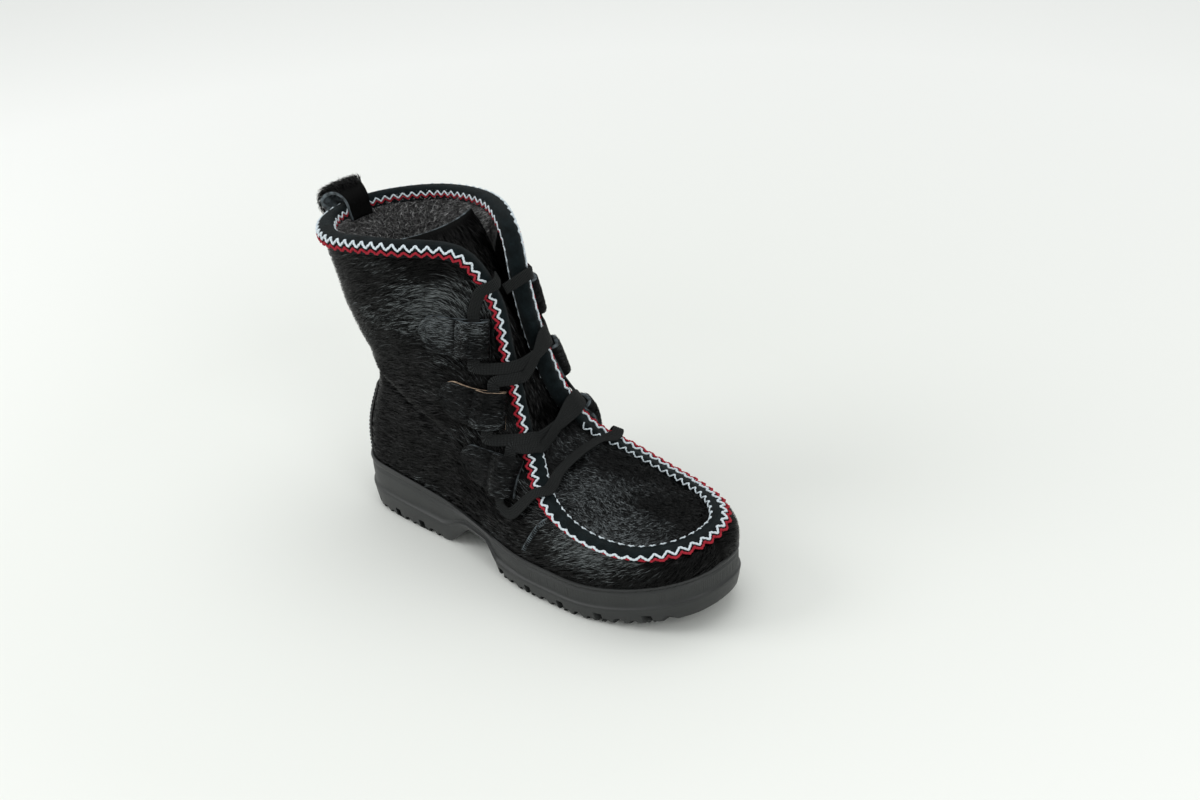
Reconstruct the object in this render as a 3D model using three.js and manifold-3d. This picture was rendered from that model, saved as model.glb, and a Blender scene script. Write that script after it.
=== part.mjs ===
// A fur mukluk boot for the right foot: a lugged rubber sole, a hollow upper with a moccasin toe,
// a tongue, a felt trim bound over the upper's edge, and a flat lace run through fur loops.
// Millimetres, X from heel to toe, Y towards the inner side of the foot, Z up.

import * as THREE from "three";
import { mergeVertices } from "three/addons/utils/BufferGeometryUtils.js";
import Module from "manifold-3d";

const wasm = await Module();
wasm.setup();

// Driving sizes of the whole boot
const bootLength = 290; // outside of the sole, heel to toe
const ballWidth = 100; // outside of the sole across the ball
const bootHeight = 207; // floor to the collar at the back
const heelRest = 52; // from the back of the heel to the middle of its tread

// Sole
const heelRim = 38; // floor to the sole's rim under the heel
const ballRim = 26; // the same at the ball
const toeSpring = 14; // how far the tread lifts at the toe
const archRise = 19; // floor to the underside of the waist
const archBack = 29; // length of the slope from the heel's tread up to the waist
const archFront = 13; // and of the slope down from it to the front tread
const heelTreadEnd = 88; // back of the heel to the front of its tread
const ballTreadStart = 148; // back of the heel to the start of the front tread
const springStart = 205; // back of the heel to where the toe starts to lift
const lipHeight = 5; // how deep the upper stands in the sole
const upperInset = 4.4; // sole's outline to the foot of the upper
const lugDepth = 7.5;
const grooveWidth = 5;
const grooveTurn = 0.16; // slant of the grooves, in radians
const heelPitch = 24; // from groove to groove under the heel
const ballPitch = 27.5; // the same under the front
const sipeWidth = 3; // small notches in the middle of each side lug
const sipeDepth = 3.2;
const sipeReach = 9;
const channelWidth = 4; // the two long grooves of the tread
const channelShare = 0.42; // of the half width
const channelLap = 25; // how far they run on past springStart
const toeTread = 8; // uncut tread at the toe
const treadSpine = 8; // half width of the uncut strip along the middle

// Upper and pieces on it
const upperWall = 3.5;
const gap = 0.3; // between pieces that stand or lie on each other
const bedding = 0.7; // the same where a piece follows the upper's curves
const around = 60; // facets round the boot
const risers = 8; // and up the upper
const apronCrown = 9; // rise of the toe's top piece over its edge
const apronEndRow = 6.3; // last row of the toe's top piece
const tongueThickness = 4;
const insoleThickness = 4;
const feltThickness = 2.4;
const feltDrop = 6.4; // how far the felt reaches down over the edge
const ridgeOuter = 6.6; // width of the toe's felt outside the seam
const ridgeInner = 5; // and inside it
const ridgeHeight = 3.4;
const backstayThickness = 1.4;
const backstayRows = 1.5; // half width, in rows round the heel
const backstayTop = 0.38; // share of the way up to the collar
const hiddenDepth = 6; // how far the lace's ends lie behind the edge of the throat
const turnBelow = 8; // how far in front of a loop's tunnel the lowest lace turns

// Lace and its loops
const laceWidth = 7.5;
const laceThickness = 1.6;
const crossSpread = 0.1; // rows by which the two runs part as they cross
const tuckRise = { outer: 1, inner: 0.9 }; // rows from the top loop to where a run goes inside
const loopLength = 46;
const loopHalfHeight = 12;
const loopLeather = 1.9;
const loopTunnel = 20; // how far back the doubled front part is stitched
const innerLift = 0.3; // rows by which the inner loops sit further up
const loopTunnelHeight = 3.3; // clear height under the doubled part
const loopLevels = {
  top: { row: 8.3, fromEdge: 10.5, innerBack: 0, tilt: -0.05 },
  middle: { row: 7.05, fromEdge: 11, innerBack: 0, tilt: -0.15 },
  bottom: { row: 5.6, fromEdge: 18, innerBack: 3, tilt: -0.05 },
};

// Pull loop at the back of the collar
const pullWidth = 22;
const pullThickness = 2.2;

// Rows of the last, from the toe (row 0) round one side to the back of the heel. Lengths are
// shares of bootLength, widths of half ballWidth and heights of bootHeight. x, outer and inner
// are the sole's outline; rise and out, in mm, lead the wall up and out of the sole; turn is
// where the wall bends in; edge is its bound top edge; shift moves turn and edge to the inside.
const half = ballWidth / 2;
const lastColumns = [
  "x", "outer", "inner", "rise", "out", "turnX", "turnWide", "turnHigh",
  "edgeX", "edgeWide", "edgeHigh", "shift",
];
const lastRows = [
  [1, 0, 0, 8, 5, 0.993, 0, 0.275, 0.952, 0, 0.266, 0.02],
  [0.986, 0.34, 0.4, 8, 5, 0.983, 0.44, 0.275, 0.938, 0.39, 0.265, 0],
  [0.941, 0.62, 0.7, 8, 5, 0.934, 0.78, 0.268, 0.89, 0.7, 0.263, -0.02],
  [0.862, 0.87, 0.9, 9, 5, 0.852, 0.98, 0.27, 0.815, 0.84, 0.266, -0.02],
  [0.766, 1.03, 0.96, 10, 5, 0.752, 1.02, 0.29, 0.731, 0.86, 0.283, -0.03],
  [0.669, 1.06, 0.93, 12, 4, 0.655, 1, 0.333, 0.648, 0.76, 0.321, -0.02],
  [0.579, 1.05, 0.82, 16, 3, 0.562, 0.92, 0.396, 0.574, 0.5, 0.392, -0.01],
  [0.503, 0.98, 0.72, 26, 3, 0.469, 0.84, 0.522, 0.52, 0.31, 0.517, 0],
  [0.428, 0.9, 0.66, 36, 2, 0.407, 0.84, 0.676, 0.484, 0.24, 0.686, 0],
  [0.345, 0.84, 0.64, 42, 2, 0.366, 0.84, 0.797, 0.46, 0.23, 0.845, 0],
  [0.255, 0.83, 0.67, 45, 2, 0.324, 0.8, 0.797, 0.41, 0.44, 0.99, -0.03],
  [0.159, 0.82, 0.74, 45, 2, 0.228, 0.76, 0.725, 0.29, 0.88, 1.02, -0.1],
  [0.072, 0.75, 0.66, 45, 3, 0.117, 0.7, 0.676, 0.13, 0.98, 1, -0.1],
  [0.017, 0.48, 0.44, 45, 3, 0.069, 0.4, 0.638, 0.018, 0.6, 0.985, -0.1],
  [0, 0, 0, 45, 3, 0.055, 0, 0.628, -0.022, 0, 0.98, -0.08],
].map((row) => Object.fromEntries(lastColumns.map((name, i) => [name, row[i]])));
const lastRow = lastRows.length - 1;

// The nip above the heel: depth in mm, height and reach as shares of bootHeight, the shaft's
// middle there as a share of bootLength, and how many rows from the heel's back it runs
const ankle = { depth: 14, high: 0.51, reach: 0.16, middle: 0.26, rows: 4.5 };
const ringCount = 2 * lastRow;

// Rows of the tongue above the toe's top piece: middle and drop of the sides as shares of
// bootLength, height as a share of bootHeight, half width as a share of half ballWidth
const tongueRows = [
  { x: 0.532, high: 0.425, wide: 0.4, drop: 0.015 },
  { x: 0.498, high: 0.53, wide: 0.48, drop: 0.04 },
  { x: 0.452, high: 0.676, wide: 0.48, drop: 0.055 },
  { x: 0.395, high: 0.812, wide: 0.5, drop: 0.05 },
  { x: 0.335, high: 0.918, wide: 0.55, drop: 0.035 },
  { x: 0.276, high: 0.995, wide: 0.58, drop: 0.022 },
];

// Steps of the sole's side, from the tread up: share of the side's height and inset in mm
const soleSteps = [
  { share: 0, inset: 3.4 },
  { share: 0.05, inset: 2.2 },
  { share: 0.4, inset: 0.3 },
  { share: 0.46, inset: 0.2 },
  { share: 0.49, inset: 1.5 },
  { share: 0.84, inset: 1.1 },
  { share: 0.87, inset: 1.9 },
  { share: 0.9, inset: 1.9 },
  { share: 0.93, inset: 0.7 },
  { share: 1, inset: 1.7 },
];

const up = new THREE.Vector3(0, 0, 1);
const clamp = THREE.MathUtils.clamp;
const lerp = THREE.MathUtils.lerp;

// Solids from grids of points, and booleans

function toSolid(geometry) {
  const merged = mergeVertices(geometry, 1e-4);
  const vertProperties = new Float32Array(merged.getAttribute("position").array);
  const triVerts = new Uint32Array(merged.index.array);
  return new wasm.Manifold(new wasm.Mesh({ numProp: 3, vertProperties, triVerts }));
}

function toGeometry(solid) {
  const mesh = solid.getMesh();
  const geometry = new THREE.BufferGeometry();
  geometry.setAttribute("position", new THREE.BufferAttribute(mesh.vertProperties, 3));
  geometry.setIndex(new THREE.BufferAttribute(mesh.triVerts, 1));
  geometry.computeVertexNormals();
  return geometry;
}

// A closed body between two sheets of points, outer[i][j] and inner[i][j]. With wrap the first
// and last columns are joined into a ring.
function sheetBody(outer, inner, wrap = false) {
  const position = [];
  const triangle = (a, b, c) => {
    if (a.distanceTo(b) > 1e-4 && b.distanceTo(c) > 1e-4 && c.distanceTo(a) > 1e-4) {
      for (const p of [a, b, c]) position.push(p.x, p.y, p.z);
    }
  };
  const quad = (a, b, c, d) => {
    triangle(a, b, c);
    triangle(a, c, d);
  };
  const columns = outer.length;
  const rows = outer[0].length;
  const next = (i) => (i + 1) % columns;
  for (let i = 0; i < (wrap ? columns : columns - 1); i++) {
    for (let j = 0; j < rows - 1; j++) {
      quad(outer[i][j], outer[next(i)][j], outer[next(i)][j + 1], outer[i][j + 1]);
      quad(inner[i][j], inner[i][j + 1], inner[next(i)][j + 1], inner[next(i)][j]);
    }
    quad(inner[i][0], inner[next(i)][0], outer[next(i)][0], outer[i][0]);
    const end = rows - 1;
    quad(outer[i][end], outer[next(i)][end], inner[next(i)][end], inner[i][end]);
  }
  if (!wrap) {
    const last = columns - 1;
    for (let j = 0; j < rows - 1; j++) {
      quad(outer[0][j], outer[0][j + 1], inner[0][j + 1], inner[0][j]);
      quad(outer[last][j], inner[last][j], inner[last][j + 1], outer[last][j + 1]);
    }
  }
  return facingOut(position);
}

function facingOut(position) {
  const geometry = new THREE.BufferGeometry();
  geometry.setAttribute("position", new THREE.Float32BufferAttribute(position, 3));
  let solid = toSolid(geometry);
  if (solid.volume() < 0) {
    const array = geometry.getAttribute("position").array;
    for (let i = 0; i < array.length; i += 9) {
      for (let k = 0; k < 3; k++) [array[i + k], array[i + 3 + k]] = [array[i + 3 + k], array[i + k]];
    }
    solid = toSolid(geometry);
  }
  return solid;
}

// A box by its lowest and highest corners, turned about the vertical through its middle
function boxBody(low, high, turn = 0) {
  const size = new THREE.Vector3(...high).sub(new THREE.Vector3(...low));
  const middle = new THREE.Vector3(...low).addScaledVector(size, 0.5);
  const geometry = new THREE.BoxGeometry(size.x, size.y, size.z);
  geometry.rotateZ(turn);
  geometry.translate(middle.x, middle.y, middle.z);
  geometry.deleteAttribute("normal");
  geometry.deleteAttribute("uv");
  return toSolid(geometry);
}

function union(solids) {
  return solids.reduce((sum, solid) => sum.add(solid));
}

// The last: smooth rings through the rows, outer side first

function ringOf(pointOfRow) {
  const points = [];
  for (let row = 0; row < ringCount; row++) {
    const inside = row > lastRow;
    points.push(pointOfRow(lastRows[inside ? ringCount - row : row], inside ? 1 : -1));
  }
  return new THREE.CatmullRomCurve3(points, true, "catmullrom", 0.5);
}

const outline = ringOf(
  (row, side) =>
    new THREE.Vector3(
      row.x * bootLength,
      row.x === 1 ? row.shift * half : side * (side > 0 ? row.inner : row.outer) * half,
      0,
    ),
);

function outlinePoint(row, inset) {
  const u = (((row / ringCount) % 1) + 1) % 1;
  const tangent = outline.getTangent(u);
  const point = outline.getPoint(u);
  return point.add(new THREE.Vector3(-tangent.y, tangent.x, 0).multiplyScalar(-inset));
}

function smooth(from, to, x) {
  return THREE.MathUtils.smoothstep(x, from, to);
}

function treadHeight(x) {
  const waist = smooth(heelTreadEnd, heelTreadEnd + archBack, x);
  const front = smooth(ballTreadStart - archFront, ballTreadStart, x);
  const lift = clamp((x - springStart) / (bootLength - springStart), 0, 1);
  return archRise * waist * (1 - front) + toeSpring * lift * lift;
}

function rimHeight(x) {
  const lift = clamp((x - springStart) / (bootLength - springStart), 0, 1);
  return lerp(heelRim, ballRim, smooth(0.1 * bootLength, 0.64 * bootLength, x)) + 1.1 * toeSpring * lift * lift;
}

function seatHeight(x) {
  return rimHeight(x) - lipHeight;
}

function footPoint(row, inset = upperInset) {
  const p = outlinePoint(row, inset);
  p.z = seatHeight(p.x) + gap;
  return p;
}

const footRing = new THREE.CatmullRomCurve3(
  Array.from({ length: ringCount }, (_, row) => footPoint(row)),
  true,
  "catmullrom",
  0.5,
);
const liftRing = new THREE.CatmullRomCurve3(
  Array.from({ length: ringCount }, (_, row) => {
    const facts = lastRows[row > lastRow ? ringCount - row : row];
    const p = footPoint(row, upperInset - facts.out);
    p.z += facts.rise;
    return p;
  }),
  true,
  "catmullrom",
  0.5,
);
const turnRing = ringOf(
  (row, side) =>
    new THREE.Vector3(
      row.turnX * bootLength,
      (side * row.turnWide + row.shift) * half,
      row.turnHigh * bootHeight,
    ),
);
const edgeRing = ringOf(
  (row, side) =>
    new THREE.Vector3(
      row.edgeX * bootLength,
      (side * row.edgeWide + row.shift) * half,
      row.edgeHigh * bootHeight,
    ),
);

// Outside of the upper at a row, 0 to ringCount, and a share of the way from sole to edge
function upperPoint(row, share) {
  const u = (((row / ringCount) % 1) + 1) % 1;
  const [a, b, c, d] = [footRing, liftRing, turnRing, edgeRing].map((ring) => ring.getPoint(u));
  const point = new THREE.CubicBezierCurve3(a, b, c, d).getPoint(clamp(share, 0, 1));
  const fromHeel = Math.abs(u * ringCount - lastRow);
  const dip = ankle.depth * (1 - smooth(ankle.rows / 3, ankle.rows, fromHeel));
  const level = (point.z / bootHeight - ankle.high) / ankle.reach;
  const inward = new THREE.Vector3(ankle.middle * bootLength - point.x, -point.y, 0).normalize();
  return point.addScaledVector(inward, dip * Math.exp(-level * level));
}

function upperNormal(row, share) {
  const e = 0.02;
  const low = clamp(share - e, 0, 1);
  const high = clamp(share + e, 0, 1);
  const along = upperPoint(row + e, share).sub(upperPoint(row - e, share));
  const rise = upperPoint(row, high).sub(upperPoint(row, low));
  return rise.cross(along).normalize();
}

// The place on the upper nearest to a point: a few damped steps from a first guess
function onUpper(target, guess) {
  let [row, share] = guess;
  const e = 0.01;
  for (let step = 0; step < 12; step++) {
    const p = upperPoint(row, share);
    const down = share > 1 - e ? -e : e;
    const alongRow = upperPoint(row + e, share).sub(p).divideScalar(e);
    const alongShare = upperPoint(row, share + down).sub(p).divideScalar(down);
    const miss = target.clone().sub(p);
    const aa = alongRow.dot(alongRow);
    const ab = alongRow.dot(alongShare);
    const bb = alongShare.dot(alongShare);
    const ma = miss.dot(alongRow);
    const mb = miss.dot(alongShare);
    const det = aa * bb - ab * ab || 1;
    row += clamp((ma * bb - mb * ab) / det, -0.5, 0.5);
    share = clamp(share + clamp((mb * aa - ma * ab) / det, -0.2, 0.2), 0, 1);
  }
  return { row, share, point: upperPoint(row, share), normal: upperNormal(row, share) };
}

// At the edge: point, outward normal, tangent along the edge, and the way into the wall
function edgeFrame(row) {
  const point = upperPoint(row, 1);
  const normal = upperNormal(row, 1);
  const tangent = upperPoint(row + 0.02, 1).sub(upperPoint(row - 0.02, 1)).normalize();
  const inward = normal.clone().cross(tangent).normalize();
  if (upperPoint(row, 0.9).sub(point).dot(inward) < 0) inward.negate();
  return { row, point, normal, tangent, inward };
}

// A place on the wall, this far from the edge and square to it
function besideEdge(row, distance) {
  const frame = edgeFrame(row);
  if (distance <= 0) {
    const point = frame.point.clone().addScaledVector(frame.inward, distance);
    return { row, share: 1, point, normal: frame.normal };
  }
  return onUpper(frame.point.clone().addScaledVector(frame.inward, distance), [row, 0.9]);
}

function raised(place, height) {
  return place.point.clone().addScaledVector(place.normal, height);
}

// Toe's top piece: a crowned sheet between the two edges

function apronPlace(row, across) {
  const outside = upperPoint(row, 1);
  const inside = upperPoint(ringCount - row, 1);
  const point = outside.clone().lerp(inside, across);
  const crown = apronCrown * smooth(0, 3, row) * lerp(1, 0.55, smooth(4, apronEndRow, row));
  point.z += crown * clamp(1 - (2 * across - 1) ** 2, 0, 1);
  return point;
}

function apronRowAt(x) {
  let low = 0;
  let high = apronEndRow + 0.5;
  for (let step = 0; step < 24; step++) {
    const middle = (low + high) / 2;
    if (upperPoint(middle, 1).x > x) low = middle;
    else high = middle;
  }
  return low;
}

function apronAt(x, y) {
  const row = apronRowAt(x);
  const outside = upperPoint(row, 1);
  const inside = upperPoint(ringCount - row, 1);
  return apronPlace(row, (y - outside.y) / (inside.y - outside.y || 1));
}

// Pieces

function outsoleSolid() {
  const rings = soleSteps.map(({ share, inset }) =>
    everyColumn((row) => {
      const p = outlinePoint(row, inset);
      const x = outlinePoint(row, 0).x;
      p.z = lerp(treadHeight(x), rimHeight(x), share);
      return p;
    }),
  );
  return stackBody(rings).subtract(upperBlock()).subtract(treadCut());
}

// One value for each column of facets round the boot
function everyColumn(valueOfRow) {
  return Array.from({ length: around }, (_, i) => valueOfRow((i / around) * ringCount));
}

// A closed body through stacked rings, closed below and above by strips from side to side
function stackBody(rings) {
  const position = [];
  const push = (a, b, c) => [a, b, c].forEach((p) => position.push(p.x, p.y, p.z));
  const count = rings[0].length;
  for (let k = 0; k < rings.length - 1; k++) {
    for (let i = 0; i < count; i++) {
      const j = (i + 1) % count;
      push(rings[k][i], rings[k][j], rings[k + 1][j]);
      push(rings[k][i], rings[k + 1][j], rings[k + 1][i]);
    }
  }
  const strip = (ring, turned) => {
    for (let i = 0; i < count / 2; i++) {
      const [a, b] = [ring[i], ring[i + 1]];
      const [c, d] = [ring[(count - i - 1) % count], ring[(count - i) % count]];
      for (const [p, q, r] of [[a, b, c], [a, c, d]]) {
        if (p === q || q === r || p === r) continue;
        if (turned) push(p, r, q);
        else push(p, q, r);
      }
    }
  };
  strip(rings[0], true);
  strip(rings[rings.length - 1], false);
  return facingOut(position);
}

// What the upper's foot takes out of the sole, with the gap round it
function upperBlock() {
  const levels = risers / 2;
  const rings = Array.from({ length: levels + 1 }, (_, j) =>
    everyColumn((row) => {
      const normal = upperNormal(row, j / risers);
      normal.z = 0;
      return upperPoint(row, j / risers).addScaledVector(normal.normalize(), gap);
    }),
  );
  rings[0].forEach((p) => (p.z -= gap));
  return stackBody(rings);
}

// Grooves between the lugs, two long channels, and small notches in the side lugs
function treadCut() {
  const cuts = [];
  const reach = ballWidth;
  const zones = [
    { from: heelTreadEnd - 3 * heelPitch, to: heelTreadEnd, pitch: heelPitch },
    { from: ballTreadStart, to: bootLength - toeTread, pitch: ballPitch },
  ];
  for (const { from, to, pitch } of zones) {
    for (let x = from; x < to; x += pitch) {
      const top = treadHeight(x) + lugDepth;
      for (const side of [-1, 1]) {
        const low = [x - grooveWidth / 2, side < 0 ? -reach : treadSpine, -toeSpring];
        const high = [x + grooveWidth / 2, side < 0 ? -treadSpine : reach, top];
        cuts.push(boxBody(low, high, side * grooveTurn));
      }
      cuts.push(...sipes(x + pitch / 2));
    }
    const end = Math.min(to, springStart + channelLap);
    for (const side of [-1, 1]) {
      const y = side * channelShare * half;
      const low = [from, y - channelWidth / 2, -toeSpring];
      cuts.push(boxBody(low, [end, y + channelWidth / 2, lugDepth]));
    }
  }
  return union(cuts);
}

function sipes(x) {
  const row = outlineRowAt(x);
  return [-1, 1].map((side) => {
    const edge = outlinePoint(side < 0 ? row : ringCount - row, 0);
    const y = edge.y - side * sipeReach;
    const low = [x - sipeWidth / 2, Math.min(y, edge.y * 1.1), -toeSpring];
    const high = [x + sipeWidth / 2, Math.max(y, edge.y * 1.1), treadHeight(x) + sipeDepth];
    return boxBody(low, high);
  });
}

function outlineRowAt(x) {
  let low = 0;
  let high = lastRow;
  for (let step = 0; step < 24; step++) {
    const middle = (low + high) / 2;
    if (outlinePoint(middle, 0).x > x) low = middle;
    else high = middle;
  }
  return low;
}

function insoleSolid() {
  const ring = (height) =>
    everyColumn((row) => {
      const p = footPoint(row, upperInset + upperWall + 2 * gap);
      p.z += height;
      return p;
    });
  return stackBody([ring(gap), ring(insoleThickness)]);
}

function upperSolid() {
  const sheet = (depth) =>
    everyColumn((row) =>
      Array.from({ length: risers + 1 }, (_, j) =>
        upperPoint(row, j / risers).addScaledVector(wallNormal(row, j / risers), -depth),
      ),
    );
  return sheetBody(sheet(0), sheet(upperWall), true).add(apronSolid());
}

// At its foot the wall is measured level, so that it stands flat on the sole
function wallNormal(row, share) {
  const normal = upperNormal(row, share);
  if (share === 0) normal.z = 0;
  return normal.normalize();
}

function apronSolid() {
  const lengthwise = 15;
  const crosswise = 8;
  const lap = 0.03;
  const first = 0.25;
  const outer = [];
  const inner = [];
  for (let i = 0; i <= lengthwise; i++) {
    const row = lerp(first, apronEndRow, (i / lengthwise) ** 0.8);
    outer.push([]);
    inner.push([]);
    for (let j = 0; j <= crosswise; j++) {
      const p = apronPlace(row, lerp(-lap, 1 + lap, j / crosswise));
      if (i === 0) p.x += upperWall / 2;
      outer[i].push(p);
      inner[i].push(p.clone().addScaledVector(up, -upperWall));
    }
  }
  return sheetBody(outer, inner);
}

function tongueSolid() {
  const crosswise = 8;
  const sections = [];
  const under = [apronEndRow - 0.75, apronEndRow - 0.4, apronEndRow - 0.02];
  for (const row of under) {
    const edge = upperPoint(row, 1);
    const wide = Math.abs(edge.y) - upperWall - feltThickness;
    sections.push(
      Array.from({ length: crosswise + 1 }, (_, j) => {
        const y = lerp(-wide, wide, j / crosswise);
        const p = apronAt(edge.x, y);
        p.z -= upperWall + 5 * gap;
        return p;
      }),
    );
  }
  for (const { x, high, wide, drop } of tongueRows) {
    sections.push(
      Array.from({ length: crosswise + 1 }, (_, j) => {
        const across = (2 * j) / crosswise - 1;
        const back = drop * across * across * bootLength;
        return new THREE.Vector3(x * bootLength - back, across * wide * half, high * bootHeight);
      }),
    );
  }
  const lengthwise = 13;
  const columns = sections[0].map((_, j) =>
    new THREE.CatmullRomCurve3(sections.map((s) => s[j]), false, "centripetal").getPoints(lengthwise),
  );
  const outer = columns;
  const inner = outer.map((column, j) =>
    column.map((p, i) => {
      const along = column[Math.min(i + 1, lengthwise)].clone().sub(column[Math.max(i - 1, 0)]);
      const across = outer[Math.min(j + 1, crosswise)][i].clone().sub(outer[Math.max(j - 1, 0)][i]);
      const normal = across.cross(along).normalize();
      if (normal.x + normal.z < 0) normal.negate();
      return p.clone().addScaledVector(normal, -tongueThickness);
    }),
  );
  return sheetBody(outer, inner);
}

// Felt folded over the upper's edge, from throat round the collar to throat
function collarTrimSolid() {
  const start = apronEndRow + 0.2;
  const between = everyColumn((row) => row).filter((row) => Math.abs(row - lastRow) < lastRow - start - 0.1);
  const profiles = [start, ...between, ringCount - start].map(foldProfile);
  return sheetBody(
    profiles.map((profile) => profile.face),
    profiles.map((profile) => profile.back),
  );
}

function foldProfile(row) {
  const [low, half, edge] = [feltDrop, feltDrop / 2, 0].map((down) => besideEdge(row, down));
  const fold = besideEdge(row, -gap);
  const top = besideEdge(row, -gap - feltThickness);
  const near = bedding;
  const far = near + feltThickness;
  const nearInside = -upperWall - bedding - 2 * gap;
  const farInside = nearInside - feltThickness;
  return {
    face: [
      ...[low, half, edge].map((spot) => raised(spot, far)),
      raised(top, near),
      raised(top, nearInside),
      ...[edge, half, low].map((spot) => raised(spot, farInside)),
    ],
    back: [
      ...[low, half, fold, fold].map((spot) => raised(spot, near)),
      ...[fold, fold, half, low].map((spot) => raised(spot, nearInside)),
    ],
  };
}

// The same felt where it lies flat round the toe, as a low ridge over the seam
function toeTrimSolid() {
  const steps = 30;
  const end = apronEndRow + 0.12;
  const profiles = Array.from({ length: steps + 1 }, (_, i) =>
    ridgeProfile(lerp(-end, end, i / steps)),
  );
  return sheetBody(
    profiles.map((profile) => profile.face),
    profiles.map((profile) => profile.back),
  );
}

function ridgeProfile(row) {
  const frame = edgeFrame(row);
  const onApron = (distance) => {
    const p = frame.point.clone().addScaledVector(frame.inward, -distance);
    return { point: apronAt(p.x, p.y), normal: frame.normal };
  };
  const spots = [
    besideEdge(row, ridgeOuter),
    besideEdge(row, ridgeOuter / 2),
    { point: frame.point, normal: frame.normal },
    onApron(ridgeInner / 2),
    onApron(ridgeInner),
  ];
  const swell = [0.5, 0.9, 1, 0.9, 0.5];
  return {
    face: spots.map((spot, i) => raised(spot, ridgeHeight * swell[i])),
    back: spots.map((spot) => raised(spot, bedding + gap)),
  };
}

function backstaySolid() {
  const crosswise = 8;
  const risers = 5;
  const outer = [];
  const inner = [];
  for (let i = 0; i <= crosswise; i++) {
    const row = lastRow + lerp(-backstayRows, backstayRows, i / crosswise);
    const foot = shareAtHeight(row, rimHeight(0) + 2 * gap);
    outer.push([]);
    inner.push([]);
    for (let j = 0; j <= risers; j++) {
      const share = lerp(foot, backstayTop, j / risers);
      const place = { point: upperPoint(row, share), normal: upperNormal(row, share) };
      outer[i].push(raised(place, bedding + gap + backstayThickness));
      inner[i].push(raised(place, bedding + gap));
    }
  }
  return sheetBody(outer, inner);
}

function shareAtHeight(row, height) {
  let low = 0;
  let high = 1;
  for (let step = 0; step < 24; step++) {
    const middle = (low + high) / 2;
    if (upperPoint(row, middle).z < height) low = middle;
    else high = middle;
  }
  return low;
}

// Over the back of the collar: distance down from the edge and height off the wall, from the
// outside over the top to the inside
const feltOutside = bedding + feltThickness;
const feltInside = -upperWall - bedding - 2 * gap - feltThickness;
const pullPath = [
  { down: 19, off: bedding },
  { down: 12, off: bedding + 0.6 },
  { down: 7.5, off: feltOutside + 2 * gap },
  { down: 2, off: feltOutside + 2 * gap },
  { down: -3, off: feltOutside + 5 },
  { down: -7, off: feltOutside + 6 },
  { down: -10, off: 3 },
  { down: -9, off: feltInside + 3 },
  { down: -4, off: feltInside - 1 },
  { down: 3, off: feltInside - 3 * gap },
  { down: 9, off: feltInside - 3 * gap },
];

function pullLoopSolid() {
  const crosswise = 3;
  const lengthwise = 20;
  const outer = [];
  const inner = [];
  const collarSpan = upperPoint(lastRow + 0.5, 1).distanceTo(upperPoint(lastRow - 0.5, 1));
  for (let i = 0; i <= crosswise; i++) {
    const row = lastRow + ((i / crosswise - 0.5) * pullWidth) / collarSpan;
    const side = edgeFrame(row).tangent;
    const points = new THREE.CatmullRomCurve3(
      pullPath.map(({ down, off }) => raised(besideEdge(row, down), off)),
      false,
      "centripetal",
    ).getPoints(lengthwise);
    const normals = points.map((p, j) => {
      const along = points[Math.min(j + 1, lengthwise)].clone().sub(points[Math.max(j - 1, 0)]);
      return side.clone().cross(along).normalize();
    });
    const turned = normals[0].dot(edgeFrame(row).normal) < 0 ? -1 : 1;
    inner.push(points);
    outer.push(points.map((p, j) => p.clone().addScaledVector(normals[j], turned * pullThickness)));
  }
  return sheetBody(outer, inner);
}

// Fur loops for the lace, three on each side

function loopOn(level, inside) {
  const { row, fromEdge, innerBack, tilt } = loopLevels[level];
  if (!inside) return { row, fromEdge, tilt, inside };
  return { row: ringCount - row - innerLift, fromEdge: fromEdge + innerBack, tilt, inside };
}

// Places in a line along the wall, from near the edge backwards
function loopSpine({ row, fromEdge, tilt, inside }) {
  const steps = 8;
  const spine = [];
  let spot = besideEdge(row, fromEdge);
  for (let i = 0; i <= steps; i++) {
    const back = up.clone().cross(spot.normal).normalize();
    if (back.x > 0) back.negate();
    back.addScaledVector(up, -tilt).normalize();
    const rise = spot.normal.clone().cross(back).normalize();
    if (rise.z < 0) rise.negate();
    spine.push({ ...spot, rise });
    const target = spot.point.clone().addScaledVector(back, loopLength / steps);
    spot = onUpper(target, [spot.row + (inside ? -0.1 : 0.1), spot.share - 0.05]);
  }
  return spine;
}

// The place on the wall at a distance back along a loop and a distance up across it
function loopSpot(spine, along, across) {
  const at = clamp((along / loopLength) * (spine.length - 1), 0, spine.length - 1);
  const i = Math.min(Math.floor(at), spine.length - 2);
  const [a, b] = [spine[i], spine[i + 1]];
  const middle = a.point.clone().lerp(b.point, at - i);
  const rise = a.rise.clone().lerp(b.rise, at - i).normalize();
  return onUpper(middle.addScaledVector(rise, across), [a.row, a.share]);
}

function laceLoopSolid(loop) {
  const spine = loopSpine(loop);
  const crosswise = 3;
  const halfHeight = (along) => {
    const round = clamp((along - (loopLength - loopHalfHeight)) / loopHalfHeight, 0, 0.96);
    return loopHalfHeight * Math.sqrt(1 - round * round);
  };
  const sheet = (stations, narrower = 0) =>
    Array.from({ length: crosswise + 1 }, (_, i) =>
      stations.map(({ along, height }) => {
        const across = lerp(-1, 1, i / crosswise) * (halfHeight(along) - narrower);
        return raised(loopSpot(spine, along, across), height);
      }),
    );
  const shares = [0, 0.2, 0.4, 0.59, 0.74, 0.85, 0.93, 0.98];
  const base = shares.map((share) => ({ along: share * loopLength, height: bedding }));
  const lifted = base.map(({ along, height }) => ({ along, height: height + loopLeather }));
  const tunnel = sheetBody(sheet(tunnelStations("high"), 0.4), sheet(tunnelStations("low"), 0.4));
  return sheetBody(sheet(lifted), sheet(base)).add(tunnel);
}

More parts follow.
